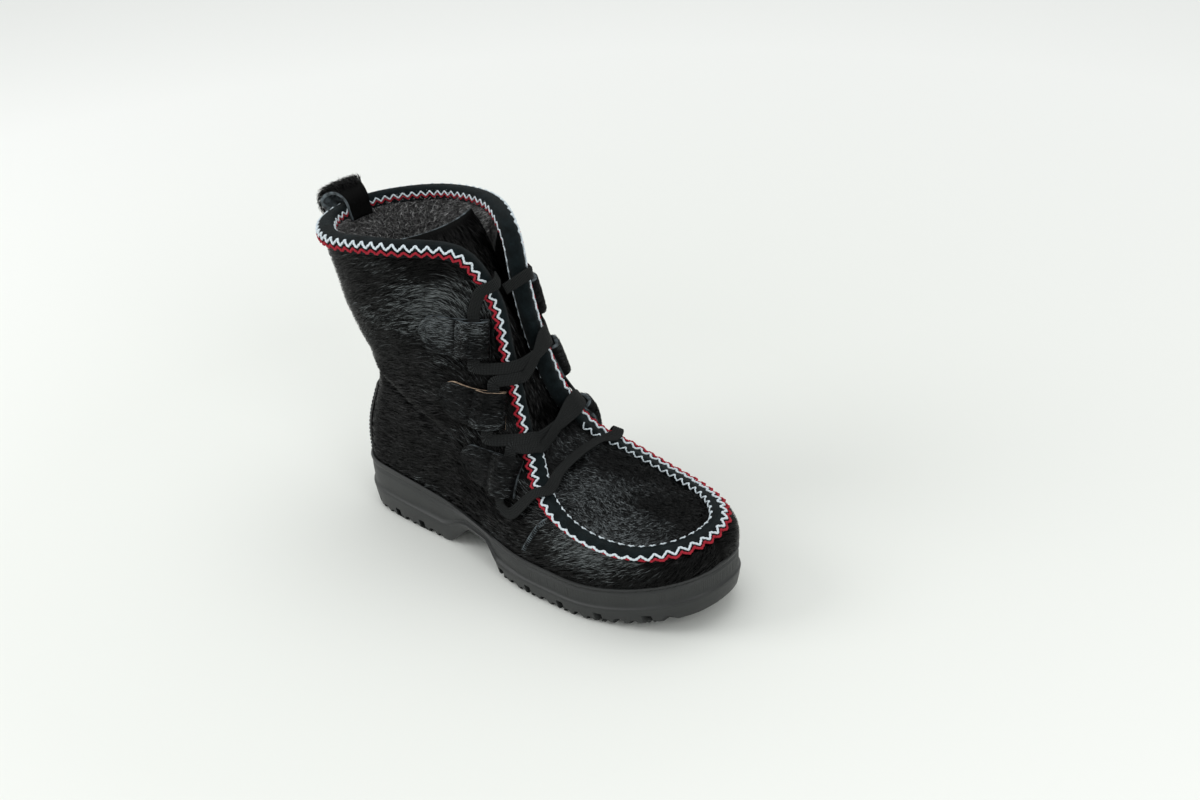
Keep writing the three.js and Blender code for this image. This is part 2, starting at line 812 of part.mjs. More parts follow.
// The doubled front part, arched so that the lace runs under it
function tunnelStations(face) {
  const floor = bedding + loopLeather;
  const roof = floor + loopTunnelHeight;
  return [
    { along: 0, low: floor - 0.9, high: floor + 0.3 },
    { along: 0.8, low: floor - 0.6, high: roof },
    { along: 3, low: floor - 0.3, high: roof + loopLeather },
    { along: 4, low: roof, high: roof + loopLeather },
    { along: 13.6, low: roof, high: roof + loopLeather },
    { along: 16.4, low: floor + 0.9, high: floor + loopLeather + 0.9 },
    { along: 18, low: floor - 0.4, high: floor + loopLeather },
    { along: loopTunnel, low: floor - 0.4, high: floor + 1.2 },
  ].map((station) => ({ along: station.along, height: station[face] }));
}

// Lace: a flat ribbon from the throat through the loops of both sides, and back

const tunnelMiddle = 8.8; // from a loop's front to the lace in it
const overFelt = Math.max(feltOutside, ridgeHeight) + 2 * gap + laceThickness;

// Through a loop from above to below
function throughLoop(loop) {
  const spine = loopSpine(loop);
  const height = bedding + loopLeather + loopTunnelHeight / 2;
  const reach = loopHalfHeight + 1;
  return [1.35, 1, 0, -1, -1.3].map((share) => {
    const spot = loopSpot(spine, tunnelMiddle, share * reach);
    return { point: raised(spot, height), normal: spot.normal };
  });
}

// From the lower end of a loop forwards, clear of its corner
function belowLoop(loop) {
  const spine = loopSpine(loop);
  const height = bedding + loopLeather + loopTunnelHeight / 2;
  const turn = [
    { along: tunnelMiddle - 1.5, below: 6 },
    { along: tunnelMiddle - turnBelow, below: 9.5 },
  ];
  return turn.map(({ along, below }) => {
    const spot = loopSpot(spine, along, -loopHalfHeight - below);
    return { point: raised(spot, height), normal: spot.normal };
  });
}

// Over the felt of one edge, from outside to the open throat
function overEdge(row) {
  const { normal, inward } = edgeFrame(row);
  return [
    { point: raised(besideEdge(row, feltDrop * 0.8), overFelt), normal },
    { point: raised(besideEdge(row, 0), overFelt + 0.3), normal },
    {
      point: raised(besideEdge(row, -feltThickness - 2.4), overFelt - 1),
      normal: normal.clone().sub(inward).normalize(),
    },
  ];
}

function laceRun(inside) {
  const sides = [inside, !inside, inside];
  const onSide = (row, isInside) => (isInside ? ringCount - row : row);
  const { top, middle, bottom } = loopLevels;
  const crossing = (a, b, from, to) => {
    const rowOf = (isInside) => (a.row + b.row) / 2 + (isInside ? innerLift : 0);
    const leave = overEdge(onSide(rowOf(from) + crossSpread, from));
    const arrive = overEdge(onSide(rowOf(to) - crossSpread, to)).reverse();
    const normal = leave[2].normal.clone().add(arrive[0].normal).normalize();
    const middle = leave[2].point.clone().lerp(arrive[0].point, 0.5);
    return [...leave, { point: middle.addScaledVector(normal, 2), normal }, ...arrive];
  };
  // both runs end inside the outer edge of the throat, the inner one under the other
  const tuck = onSide(top.row + (inside ? tuckRise.inner : tuckRise.outer), inside);
  const end = edgeFrame(top.row + (inside ? tuckRise.inner - 0.15 : tuckRise.outer));
  const hidden = raised(besideEdge(end.row, -feltThickness - 3), -hiddenDepth);
  return [
    { point: hidden, normal: end.inward.clone().negate() },
    ...overEdge(tuck).reverse(),
    ...throughLoop(loopOn("top", sides[0])),
    ...crossing(top, middle, sides[0], sides[1]),
    ...throughLoop(loopOn("middle", sides[1])),
    ...crossing(middle, bottom, sides[1], sides[2]),
    ...throughLoop(loopOn("bottom", sides[2])).slice(0, 4),
  ];
}

// The bar across the toe piece, from the lowest outer loop up into the lowest inner one
function laceBar() {
  const row = loopLevels.bottom.row - 0.45;
  const across = [0.2, 0.35, 0.5, 0.65, 0.8].map((share) => {
    const point = apronPlace(row + innerLift * share, share);
    return { point: point.addScaledVector(up, gap + 2 * laceThickness), normal: up };
  });
  return [
    ...belowLoop(loopOn("bottom", false)),
    ...overEdge(row).slice(0, 2),
    ...across,
    ...overEdge(ringCount - row - innerLift).slice(0, 2).reverse(),
    ...belowLoop(loopOn("bottom", true)).reverse(),
    ...throughLoop(loopOn("bottom", true)).slice(2, 4).reverse(),
  ];
}

function ribbonBody(way) {
  const steps = Math.round(1.45 * (way.length - 1));
  const middle = new THREE.CatmullRomCurve3(way.map((w) => w.point), false, "centripetal");
  const normals = new THREE.CatmullRomCurve3(way.map((w) => w.normal), false, "centripetal");
  const sections = Array.from({ length: steps + 1 }, (_, i) => {
    const t = i / steps;
    const tangent = middle.getTangent(t);
    const side = tangent.clone().cross(normals.getPoint(t)).normalize();
    const normal = side.clone().cross(tangent).normalize();
    return { point: middle.getPoint(t), side, normal };
  });
  const sheet = (height) =>
    [-0.5, 0.5].map((share) =>
      sections.map(({ point, side, normal }) =>
        point
          .clone()
          .addScaledVector(side, share * laceWidth)
          .addScaledVector(normal, height * laceThickness),
      ),
    );
  return sheetBody(sheet(0.5), sheet(-0.5));
}

function laceSolid() {
  return ribbonBody([...laceRun(false), ...laceBar()]).add(ribbonBody(laceRun(true)));
}

const materials = {
  rubber: new THREE.MeshStandardMaterial({ color: "#3b3c3d", roughness: 0.62, metalness: 0 }),
  fur: new THREE.MeshStandardMaterial({ color: "#121212", roughness: 0.5, metalness: 0 }),
  felt: new THREE.MeshStandardMaterial({ color: "#131c1c", roughness: 0.95, metalness: 0 }),
  leather: new THREE.MeshStandardMaterial({ color: "#1b1b1b", roughness: 0.6, metalness: 0 }),
  webbing: new THREE.MeshStandardMaterial({ color: "#232322", roughness: 0.9, metalness: 0 }),
  shearling: new THREE.MeshStandardMaterial({ color: "#5b5856", roughness: 1, metalness: 0 }),
};

const boot = new THREE.Group();

function place(name, solid, material) {
  const mesh = new THREE.Mesh(toGeometry(solid), material);
  mesh.name = name;
  boot.add(mesh);
}

place("outsole", outsoleSolid(), materials.rubber);
place("insole", insoleSolid(), materials.shearling);
place("upper", upperSolid(), materials.fur);
place("tongue", tongueSolid(), materials.fur);
place("collar_trim", collarTrimSolid(), materials.felt);
place("toe_trim", toeTrimSolid(), materials.felt);
place("backstay", backstaySolid(), materials.leather);
place("pull_loop", pullLoopSolid(), materials.fur);
for (const level of Object.keys(loopLevels)) {
  place(`lace_loop_outer_${level}`, laceLoopSolid(loopOn(level, false)), materials.fur);
  place(`lace_loop_inner_${level}`, laceLoopSolid(loopOn(level, true)), materials.fur);
}
place("lace", laceSolid(), materials.webbing);

boot.position.x = -heelRest;

export default boot;
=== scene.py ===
import bpy
import math
import numpy as np
from mathutils import Matrix, Vector


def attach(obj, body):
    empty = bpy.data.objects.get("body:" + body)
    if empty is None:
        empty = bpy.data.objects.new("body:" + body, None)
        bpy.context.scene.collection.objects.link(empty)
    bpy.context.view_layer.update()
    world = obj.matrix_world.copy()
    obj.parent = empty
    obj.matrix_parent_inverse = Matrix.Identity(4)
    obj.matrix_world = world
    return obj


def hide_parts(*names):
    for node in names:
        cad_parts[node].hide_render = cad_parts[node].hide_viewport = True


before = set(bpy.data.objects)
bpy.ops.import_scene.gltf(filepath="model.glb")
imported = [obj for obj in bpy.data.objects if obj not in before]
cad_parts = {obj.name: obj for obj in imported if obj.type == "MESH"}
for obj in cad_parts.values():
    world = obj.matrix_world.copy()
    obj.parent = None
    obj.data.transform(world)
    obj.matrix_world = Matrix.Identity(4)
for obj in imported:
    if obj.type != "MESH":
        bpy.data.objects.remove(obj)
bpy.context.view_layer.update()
rng = np.random.default_rng(7)
print("frame loaded")

# Sizes in millimetres with x from the back of the heel; meshes are moved to the heel's rest
mm = 0.001
last = {
    "length": 290, "ballWidth": 100, "height": 207, "heelRest": 52, "heelRim": 38, "ballRim": 26,
    "toeSpring": 14, "archRise": 19, "archBack": 29, "archFront": 13, "heelTreadEnd": 88,
    "ballTreadStart": 148, "springStart": 205, "lipHeight": 5, "upperInset": 4.4,
    "upperWall": 3.5, "gap": 0.3, "bedding": 0.7, "apronCrown": 9, "apronEndRow": 6.3,
}
half = last["ballWidth"] / 2
ankle = {"depth": 14, "high": 0.51, "reach": 0.16, "middle": 0.26, "rows": 4.5}

# x, outer and inner half width of the sole, rise and out of the wall's foot, then where the
# wall turns in and its edge (x, half width, height), and how far both lean to the inner side
lastRows = [
    [1, 0, 0, 8, 5, 0.993, 0, 0.275, 0.952, 0, 0.266, 0.02],
    [0.986, 0.34, 0.4, 8, 5, 0.983, 0.44, 0.275, 0.938, 0.39, 0.265, 0],
    [0.941, 0.62, 0.7, 8, 5, 0.934, 0.78, 0.268, 0.89, 0.7, 0.263, -0.02],
    [0.862, 0.87, 0.9, 9, 5, 0.852, 0.98, 0.27, 0.815, 0.84, 0.266, -0.02],
    [0.766, 1.03, 0.96, 10, 5, 0.752, 1.02, 0.29, 0.731, 0.86, 0.283, -0.03],
    [0.669, 1.06, 0.93, 12, 4, 0.655, 1, 0.333, 0.648, 0.76, 0.321, -0.02],
    [0.579, 1.05, 0.82, 16, 3, 0.562, 0.92, 0.396, 0.574, 0.5, 0.392, -0.01],
    [0.503, 0.98, 0.72, 26, 3, 0.469, 0.84, 0.522, 0.52, 0.31, 0.517, 0],
    [0.428, 0.9, 0.66, 36, 2, 0.407, 0.84, 0.676, 0.484, 0.24, 0.686, 0],
    [0.345, 0.84, 0.64, 42, 2, 0.366, 0.84, 0.797, 0.46, 0.23, 0.845, 0],
    [0.255, 0.83, 0.67, 45, 2, 0.324, 0.8, 0.797, 0.41, 0.44, 0.99, -0.03],
    [0.159, 0.82, 0.74, 45, 2, 0.228, 0.76, 0.725, 0.29, 0.88, 1.02, -0.1],
    [0.072, 0.75, 0.66, 45, 3, 0.117, 0.7, 0.676, 0.13, 0.98, 1, -0.1],
    [0.017, 0.48, 0.44, 45, 3, 0.069, 0.4, 0.638, 0.018, 0.6, 0.985, -0.1],
    [0, 0, 0, 45, 3, 0.055, 0, 0.628, -0.022, 0, 0.98, -0.08],
]
lastRow = len(lastRows) - 1
ringCount = 2 * lastRow


def unit(v):
    return v / np.maximum(np.linalg.norm(v, axis=-1, keepdims=True), 1e-9)


def smooth(low, high, x):
    t = np.clip((np.asarray(x, float) - low) / (high - low), 0, 1)
    return t * t * (3 - 2 * t)


def lerp(a, b, t):
    return a + (b - a) * t


def pairs(a, b):
    return np.stack(np.meshgrid(a, b, indexing="ij"), -1)


def cubic(b, c, m, n, t):
    return b + m * t + (-3 * b + 3 * c - 2 * m - n) * t**2 + (2 * b - 2 * c + m + n) * t**3


def lengthAlong(points):
    return np.cumsum(np.linalg.norm(np.diff(points, axis=0, prepend=points[:1]), axis=-1))


def spread(*values):
    # the same shape for all, as numbers
    return np.broadcast_arrays(*(np.asarray(v, float) for v in values))


def closedCurve(points):
    points = np.asarray(points, float)
    count = len(points)

    def at(rows):
        rows = np.asarray(rows, float) % count
        k = np.floor(rows).astype(int)
        t = (rows - k)[..., None]
        a, b, c, d = (points[(k + i) % count] for i in (-1, 0, 1, 2))
        return cubic(b, c, (c - a) / 2, (d - b) / 2, t)

    return at


def openCurve(points, count):
    # centripetal curve through the points, sampled evenly in its own parameter
    p = np.asarray(points, float)
    p = np.concatenate([[2 * p[0] - p[1]], p, [2 * p[-1] - p[-2]]])
    spans = len(p) - 3
    u = np.linspace(0, spans, count)
    k = np.minimum(u.astype(int), spans - 1)
    t = (u - k).reshape((-1,) + (1,) * (p.ndim - 1))
    a, b, c, d = (p[k + i] for i in range(4))

    def step(v, w):
        return np.maximum(np.linalg.norm(w - v, axis=-1, keepdims=True), 1e-4) ** 0.5

    da, db, dc = step(a, b), step(b, c), step(c, d)
    m = ((b - a) / da - (c - a) / (da + db) + (c - b) / db) * db
    n = ((c - b) / db - (d - b) / (db + dc) + (d - c) / dc) * db
    return cubic(b, c, m, n, t)


def ringOf(pointOfRow):
    points = []
    for row in range(ringCount):
        inside = row > lastRow
        points.append(pointOfRow(lastRows[ringCount - row if inside else row], 1 if inside else -1))
    return closedCurve(points)


def outlineRow(facts, side):
    if facts[0] == 1:
        return [last["length"], facts[11] * half, 0]
    return [facts[0] * last["length"], side * (facts[2] if side > 0 else facts[1]) * half, 0]


outline = ringOf(outlineRow)


def outlinePoint(rows, inset):
    e = 0.003
    tangent = unit(outline(np.asarray(rows) + e) - outline(np.asarray(rows) - e))
    across = np.stack([-tangent[..., 1], tangent[..., 0], 0 * tangent[..., 0]], -1)
    return outline(rows) - across * np.asarray(inset)[..., None]


def toeLift(x):
    front = (np.asarray(x, float) - last["springStart"]) / (last["length"] - last["springStart"])
    return last["toeSpring"] * np.clip(front, 0, 1) ** 2


def treadHeight(x):
    waist = smooth(last["heelTreadEnd"], last["heelTreadEnd"] + last["archBack"], x)
    front = smooth(last["ballTreadStart"] - last["archFront"], last["ballTreadStart"], x)
    return last["archRise"] * waist * (1 - front) + toeLift(x)


def rimHeight(x):
    share = smooth(0.1 * last["length"], 0.64 * last["length"], x)
    return lerp(last["heelRim"], last["ballRim"], share) + 1.1 * toeLift(x)


def footPoint(rows, inset):
    p = outlinePoint(rows, inset)
    p[..., 2] = rimHeight(p[..., 0]) - last["lipHeight"] + last["gap"]
    return p


wholeRows = np.arange(ringCount)
rowFacts = np.array([lastRows[ringCount - r if r > lastRow else r] for r in wholeRows])
footRing = closedCurve(footPoint(wholeRows, np.full(ringCount, last["upperInset"])))
liftPoints = footPoint(wholeRows, last["upperInset"] - rowFacts[:, 4])
liftPoints[:, 2] += rowFacts[:, 3]
liftRing = closedCurve(liftPoints)


def wallRow(first):
    def at(facts, side):
        wide = (side * facts[first + 1] + facts[11]) * half
        return [facts[first] * last["length"], wide, facts[first + 2] * last["height"]]

    return at


turnRing = ringOf(wallRow(5))
edgeRing = ringOf(wallRow(8))


def upperPoint(rows, shares):
    rows, shares = spread(rows, shares)
    a, b, c, d = (ring(rows) for ring in (footRing, liftRing, turnRing, edgeRing))
    t = np.clip(shares, 0, 1)[..., None]
    p = a * (1 - t) ** 3 + 3 * b * t * (1 - t) ** 2 + 3 * c * t**2 * (1 - t) + d * t**3
    fromHeel = np.abs(rows % ringCount - lastRow)
    dip = ankle["depth"] * (1 - smooth(ankle["rows"] / 3, ankle["rows"], fromHeel))
    level = (p[..., 2] / last["height"] - ankle["high"]) / ankle["reach"]
    inward = np.stack([ankle["middle"] * last["length"] - p[..., 0], -p[..., 1], 0 * p[..., 0]], -1)
    return p + unit(inward) * (dip * np.exp(-level * level))[..., None]


def signedRow(rows):
    # rows from the toe, negative on the inner side
    rows = np.asarray(rows, float) % ringCount
    return np.where(rows > lastRow, rows - ringCount, rows)


def surfaceNormal(surface, rows, shares, e=0.02):
    shares = np.asarray(shares, float)
    along = surface(rows + e, shares) - surface(rows - e, shares)
    rise = surface(rows, np.clip(shares + e, 0, 1)) - surface(rows, np.clip(shares - e, 0, 1))
    return unit(np.cross(rise, along))


def upperNormal(rows, shares):
    return surfaceNormal(upperPoint, np.asarray(rows, float), shares)


def slopes(surface, rows, shares, e=0.01):
    # a place on a surface and how it moves with row and with share
    p = surface(rows, shares)
    down = np.where(shares > 1 - e, -e, e)
    alongShare = (surface(rows, shares + down) - p) / down[..., None]
    return p, (surface(rows + e, shares) - p) / e, alongShare


def surfaceStep(alongRow, alongShare, move, guard):
    # how far row and share change for a move along the surface
    aa, ab = (alongRow**2).sum(-1), (alongRow * alongShare).sum(-1)
    bb, ma = (alongShare**2).sum(-1), (move * alongRow).sum(-1)
    mb = (move * alongShare).sum(-1)
    det = guard(aa * bb - ab * ab)
    return (ma * bb - mb * ab) / det, (mb * aa - ma * ab) / det


def onUpper(target, rows, shares):
    # nearest place on the wall, by a few damped steps from a first guess
    rows, shares = np.array(rows, float), np.array(shares, float)
    tries, mostRow, mostShare = 12, 0.5, 0.2
    for _ in range(tries):
        p, alongRow, alongShare = slopes(upperPoint, rows, shares)
        row, share = surfaceStep(
            alongRow, alongShare, target - p, lambda det: np.where(np.abs(det) < 1e-9, 1, det)
        )
        rows = rows + np.clip(row, -mostRow, mostRow)
        shares = np.clip(shares + np.clip(share, -mostShare, mostShare), 0, 1)
    return rows, shares, upperPoint(rows, shares), upperNormal(rows, shares)


def edgeFrame(rows):
    rows = np.asarray(rows, float)
    top = np.ones_like(rows)
    point = upperPoint(rows, top)
    normal = upperNormal(rows, top)
    tangent = unit(upperPoint(rows + 0.02, top) - upperPoint(rows - 0.02, top))
    inward = unit(np.cross(normal, tangent))
    turned = ((upperPoint(rows, top * 0.9) - point) * inward).sum(-1, keepdims=True) < 0
    return point, normal, tangent, np.where(turned, -inward, inward)


def besideEdge(rows, distances):
    # places this far from the wall's edge and square to it; beyond the edge where it is negative
    rows, distances = spread(rows, distances)
    point, normal, _, inward = edgeFrame(rows)
    target = point + inward * distances[..., None]
    _, _, on, onNormal = onUpper(target, rows, np.full(rows.shape, 0.9))
    beyond = (distances <= 0)[..., None]
    return np.where(beyond, target, on), np.where(beyond, normal, onNormal)


def apronPlace(rows, across):
    rows, across = spread(rows, across)
    p = lerp(upperPoint(rows, 1.0), upperPoint(ringCount - rows, 1.0), across[..., None])
    crown = last["apronCrown"] * smooth(0, 3, rows)
    crown = crown * lerp(1, 0.55, smooth(4, last["apronEndRow"], rows))
    p[..., 2] += crown * np.clip(1 - (2 * across - 1) ** 2, 0, 1)
    return p


def apronAt(x, y):
    low, high = np.zeros_like(x), np.full_like(x, last["apronEndRow"] + 0.5)
    for _ in range(24):
        middle = (low + high) / 2
        ahead = upperPoint(middle, 1.0)[..., 0] > x
        low, high = np.where(ahead, middle, low), np.where(ahead, high, middle)
    outside, inside = upperPoint(low, 1.0), upperPoint(ringCount - low, 1.0)
    span = inside[..., 1] - outside[..., 1]
    return apronPlace(low, (y - outside[..., 1]) / np.where(np.abs(span) < 1e-6, 1, span))


print("shape of the last ready")

# Materials


def linear(hexColour):
    values = [int(hexColour[i : i + 2], 16) / 255 for i in (1, 3, 5)]
    return tuple(v / 12.92 if v < 0.04045 else ((v + 0.055) / 1.055) ** 2.4 for v in values) + (1,)


def addNode(tree, kind, values=None, links=None, stops=None, **settings):
    node = tree.nodes.new(kind)
    for key, value in settings.items():
        setattr(node, key, value)
    for key, value in (values or {}).items():
        node.inputs[key].default_value = value
    for key, source in (links or {}).items():
        tree.links.new(source, node.inputs[key])
    for i, (place, colour) in enumerate(stops or []):
        spot = node.color_ramp.elements[i] if i < 2 else node.color_ramp.elements.new(place)
        spot.position = place
        spot.color = linear(colour)
    return node


def newMaterial(name, **values):
    material = bpy.data.materials.new(name)
    material.use_nodes = True
    tree = material.node_tree
    shader = tree.nodes["Principled BSDF"]
    for key, value in values.items():
        shader.inputs[key.replace("_", " ")].default_value = value
    return material, tree, shader


def relief(tree, shader, height, depth):
    # bump of this depth in millimetres
    bump = addNode(
        tree, "ShaderNodeBump", {"Distance": depth * mm, "Strength": 1.0}, {"Height": height}
    )
    tree.links.new(bump.outputs["Normal"], shader.inputs["Normal"])


def objectPlace(tree):
    return addNode(tree, "ShaderNodeTexCoord").outputs["Object"]


def uvPlace(tree, stretch=None):
    uv = addNode(tree, "ShaderNodeUVMap").outputs["UV"]
    if stretch is None:
        return uv
    mapping = addNode(tree, "ShaderNodeMapping", {"Scale": stretch}, {"Vector": uv})
    return mapping.outputs["Vector"]


def noiseOver(tree, place, scale, detail, roughness=0.5):
    values = {"Scale": scale, "Detail": detail, "Roughness": roughness}
    return addNode(tree, "ShaderNodeTexNoise", values, {"Vector": place}).outputs["Fac"]


def toneOf(tree, fac, *stops):
    return addNode(tree, "ShaderNodeValToRGB", links={"Fac": fac}, stops=stops).outputs["Color"]


def paint(tree, shader, fac, *stops):
    tree.links.new(toneOf(tree, fac, *stops), shader.inputs["Base Color"])


def grainMaterial(name, finish, grain, stops, stretch=None, depth=0):
    # one noise gives the tone, and the relief too where there is a depth
    material, tree, shader = newMaterial(name, **finish)
    place = uvPlace(tree, stretch) if stretch else objectPlace(tree)
    fac = noiseOver(tree, place, *grain)
    paint(tree, shader, fac, *stops)
    if depth:
        relief(tree, shader, fac, depth)
    return material


def hideMaterial(name, dark, light, stretch):
    # dressed calf hide seen between the hairs: near black, with streaks along the hair
    finish, stops = {"Roughness": 0.55, "Specular_IOR_Level": 0.05}, ((0.35, dark), (0.8, light))
    return grainMaterial(name, finish, (1.0, 5.0, 0.65), stops, stretch, 0.8)


def threadMaterial(name, shade, colour):
    # twisted cotton yarn: the plies are in the mesh, the fine fibres here
    finish, stops = {"Roughness": 0.8, "Specular_IOR_Level": 0.2}, ((0.3, shade), (0.6, colour))
    return grainMaterial(name, finish, (1.5, 3.0), stops, (1.2, 9.0, 1.0), 0.2)


def cutEdgeMaterial(name, dark, light):
    # raw cut edge of the hide, pale where the dye hasn't reached
    stops = ((0.35, dark), (0.65, light))
    return grainMaterial(name, {"Roughness": 0.8}, (260.0, 3.0), stops)


def hairMaterial(name, dark, middle, light, roughness, mirror):
    # single hairs: u of the UV map is each hair's own tone with painted highlight in it, and v runs
    # from root to tip
    material, tree, shader = newMaterial(name, Roughness=roughness, Specular_IOR_Level=mirror)
    part = addNode(tree, "ShaderNodeSeparateXYZ", links={"Vector": uvPlace(tree)})
    # painted highlight: the lightest stop is the colour of hair catching the light, reached where
    # the painted sheen lifts a hair's tone
    toneWithPaintedSheen = toneOf(tree, part.outputs["X"], (0.0, dark), (1.0, light), (0.62, middle))
    root = toneOf(tree, part.outputs["Y"], (0.0, "#777777"), (0.6, "#ffffff"))
    mixed = addNode(
        tree, "ShaderNodeMix", {0: 1.0}, {6: toneWithPaintedSheen, 7: root},
        data_type="RGBA", blend_type="MULTIPLY",
    )
    tree.links.new(mixed.outputs[2], shader.inputs["Base Color"])
    return material


def feltMaterial():
    # pressed wool: matt, with a nap of about half a millimetre
    material, tree, shader = newMaterial(
        "pressedFelt", Roughness=0.95, Specular_IOR_Level=0.08, Sheen_Weight=0.04
    )
    place = objectPlace(tree)
    nap = noiseOver(tree, place, 1400.0, 4.0, 0.7)
    patch = noiseOver(tree, place, 160.0, 2.0)
    both = addNode(tree, "ShaderNodeMath", links={0: nap, 1: patch}, operation="MULTIPLY")
    paint(tree, shader, both.outputs[0], (0.12, "#070c0d"), (0.45, "#172023"))
    relief(tree, shader, nap, 0.5)
    return material


def rubberMaterial():
    # moulded rubber: dark grey, half matt, with a fine mould grain and dust in it
    material, tree, shader = newMaterial("mouldedRubber", Roughness=0.5, Specular_IOR_Level=0.5)
    place = objectPlace(tree)
    cloud = noiseOver(tree, place, 45.0, 5.0, 0.6)
    paint(tree, shader, cloud, (0.3, "#191b1b"), (0.75, "#272929"))
    gloss = addNode(
        tree, "ShaderNodeMapRange", {"To Min": 0.38, "To Max": 0.6}, {"Value": cloud}
    )
    tree.links.new(gloss.outputs["Result"], shader.inputs["Roughness"])
    relief(tree, shader, noiseOver(tree, place, 1800.0, 3.0), 0.12)
    return material


def webbingMaterial():
    # flat woven lace: warp ribs are in the mesh, the picks across it here
    material, tree, shader = newMaterial("wovenLace", Roughness=0.85, Specular_IOR_Level=0.15)
    values = {"Scale": 0.35, "Distortion": 0.6, "Detail": 2.0}
    picks = addNode(
        tree, "ShaderNodeTexWave", values, {"Vector": uvPlace(tree)}, bands_direction="X"
    ).outputs["Fac"]
    paint(tree, shader, picks, (0.1, "#0e0f0f"), (0.9, "#262828"))
    relief(tree, shader, picks, 0.25)
    return material


def leatherMaterial():
    # smooth dyed calf: soft gloss and a pore grain of about 0.8 mm
    material, tree, shader = newMaterial("smoothLeather", Roughness=0.42, Specular_IOR_Level=0.35)
    pores = addNode(
        tree, "ShaderNodeTexVoronoi", {"Scale": 1250.0}, {"Vector": objectPlace(tree)}
    ).outputs["Distance"]
    paint(tree, shader, pores, (0.0, "#101010"), (0.7, "#1d1c1c"))
    relief(tree, shader, pores, 0.12)
    return material


materials = {
    "wallHide": hideMaterial("calfHideWall", "#030303", "#0b0b0b", (0.12, 1.6, 1.0)),
    "toeHide": hideMaterial("calfHideToe", "#050505", "#141516", (0.7, 0.25, 1.0)),
    "liningHide": hideMaterial("woolLining", "#2a2a2a", "#727272", (0.5, 0.5, 1.0)),
    # the lightest colour of each calf hair is its painted highlight
    "wallHair": hairMaterial("calfHairLong", "#010101", "#0b0c0c", "#7d8384", 0.3, 0.14),
    "toeHair": hairMaterial("calfHairShort", "#020303", "#121415", "#757b7d", 0.4, 0.16),
    "pile": hairMaterial("shearlingPile", "#474747", "#8b8b8b", "#ececec", 0.9, 0.2),
    "felt": feltMaterial(),
    "whiteThread": threadMaterial("whiteYarn", "#9fb0bb", "#e6eff4"),
    "redThread": threadMaterial("redYarn", "#6d1220", "#b32a38"),
    "rubber": rubberMaterial(),
    "webbing": webbingMaterial(),
    "cutEdge": cutEdgeMaterial("cutHideEdge", "#14181a", "#5d676c"),
    "creamEdge": cutEdgeMaterial("rawHideEdge", "#6b5a4c", "#c9ae94"),
    "leather": leatherMaterial(),
}
print("materials ready")

# Meshes from grids of points


def newPiece(name, points, faces, uv, materialNames, node=None, faceMaterial=None):
    mesh = bpy.data.meshes.new(name)
    place = (np.asarray(points, float) - [last["heelRest"], 0, 0]) * mm
    faces = np.asarray(faces, np.int32)
    sides = faces.shape[1]
    mesh.vertices.add(len(place))
    mesh.vertices.foreach_set("co", place.astype(np.float32).ravel())
    mesh.loops.add(faces.size)
    mesh.loops.foreach_set("vertex_index", faces.ravel())
    mesh.polygons.add(len(faces))
    mesh.polygons.foreach_set("loop_start", np.arange(0, faces.size, sides, dtype=np.int32))
    if faceMaterial is not None:
        mesh.polygons.foreach_set("material_index", np.asarray(faceMaterial, np.int32))
    layer = mesh.uv_layers.new(name="UVMap")
    layer.data.foreach_set("uv", np.asarray(uv, np.float32)[faces.ravel()].ravel())
    mesh.update(calc_edges=True)
    mesh.validate()
    mesh.shade_smooth()
    piece = bpy.data.objects.new(name, mesh)
    bpy.context.scene.collection.objects.link(piece)
    for materialName in materialNames:
        mesh.materials.append(materials[materialName])
    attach(piece, "root")
    if node:
        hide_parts(node)
    return piece


def gridFaces(columns, rows, wrapColumns=False, wrapRows=False, start=0, turned=False):
    i, j = np.meshgrid(
        np.arange(columns if wrapColumns else columns - 1),
        np.arange(rows if wrapRows else rows - 1),
        indexing="ij",
    )
    i2, j2 = (i + 1) % columns, (j + 1) % rows
    quads = np.stack([i * rows + j, i2 * rows + j, i2 * rows + j2, i * rows + j2], -1)
    quads = quads.reshape(-1, 4) + start
    return quads[:, ::-1] if turned else quads


def gridPiece(name, grid, uv, materialNames, node, wrapColumns=True, faceMaterial=None):
    points = grid.reshape(-1, 3)
    faces = gridFaces(*grid.shape[:2], wrapColumns, wrapRows=True)
    out = facingOut(points, faces)
    newPiece(name, points, out, uv.reshape(-1, 2), materialNames, node, faceMaterial)


def slab(outer, inner):
    # closed body between two grids, and its rim
    columns, rows = outer.shape[:2]
    count = columns * rows
    faces = [gridFaces(columns, rows), gridFaces(columns, rows, start=count, turned=True)]
    i, j = np.arange(columns - 1) * rows, np.arange(rows - 1)
    k, end, far = i + rows, rows - 1, (columns - 1) * rows
    rim = np.concatenate([
        np.stack([k, i, i + count, k + count], -1),
        np.stack([i + end, k + end, k + end + count, i + end + count], -1),
        np.stack([j, j + 1, j + 1 + count, j + count], -1),
        np.stack([far + j + 1, far + j, far + j + count, far + j + 1 + count], -1),
    ])
    points = np.concatenate([outer.reshape(-1, 3), inner.reshape(-1, 3)])
    return points, faces, rim


def facingOut(points, faces):
    a, b, c = (points[faces[:, i]] for i in range(3))
    volume = (np.cross(b - points[0], c - points[0]) * (a - points[0])).sum()
    if faces.shape[1] == 4:
        d = points[faces[:, 3]]
        volume += (np.cross(c - points[0], d - points[0]) * (a - points[0])).sum()
    return faces if volume > 0 else faces[:, ::-1]


def slabPiece(name, outer, inner, uv, materialNames, slot, node):
    points, sheets, rim = slab(outer, inner)
    faces = np.concatenate(sheets + [rim])
    index = [0] * len(sheets[0]) + [1 if len(materialNames) > 1 else 0] * len(sheets[1])
    index += [len(materialNames) - 1] * len(rim)
    uvs = np.concatenate([uv.reshape(-1, 2)] * 2)
    out = facingOut(points, faces)
    return newPiece(name, points, out, uvs, materialNames, node, index)


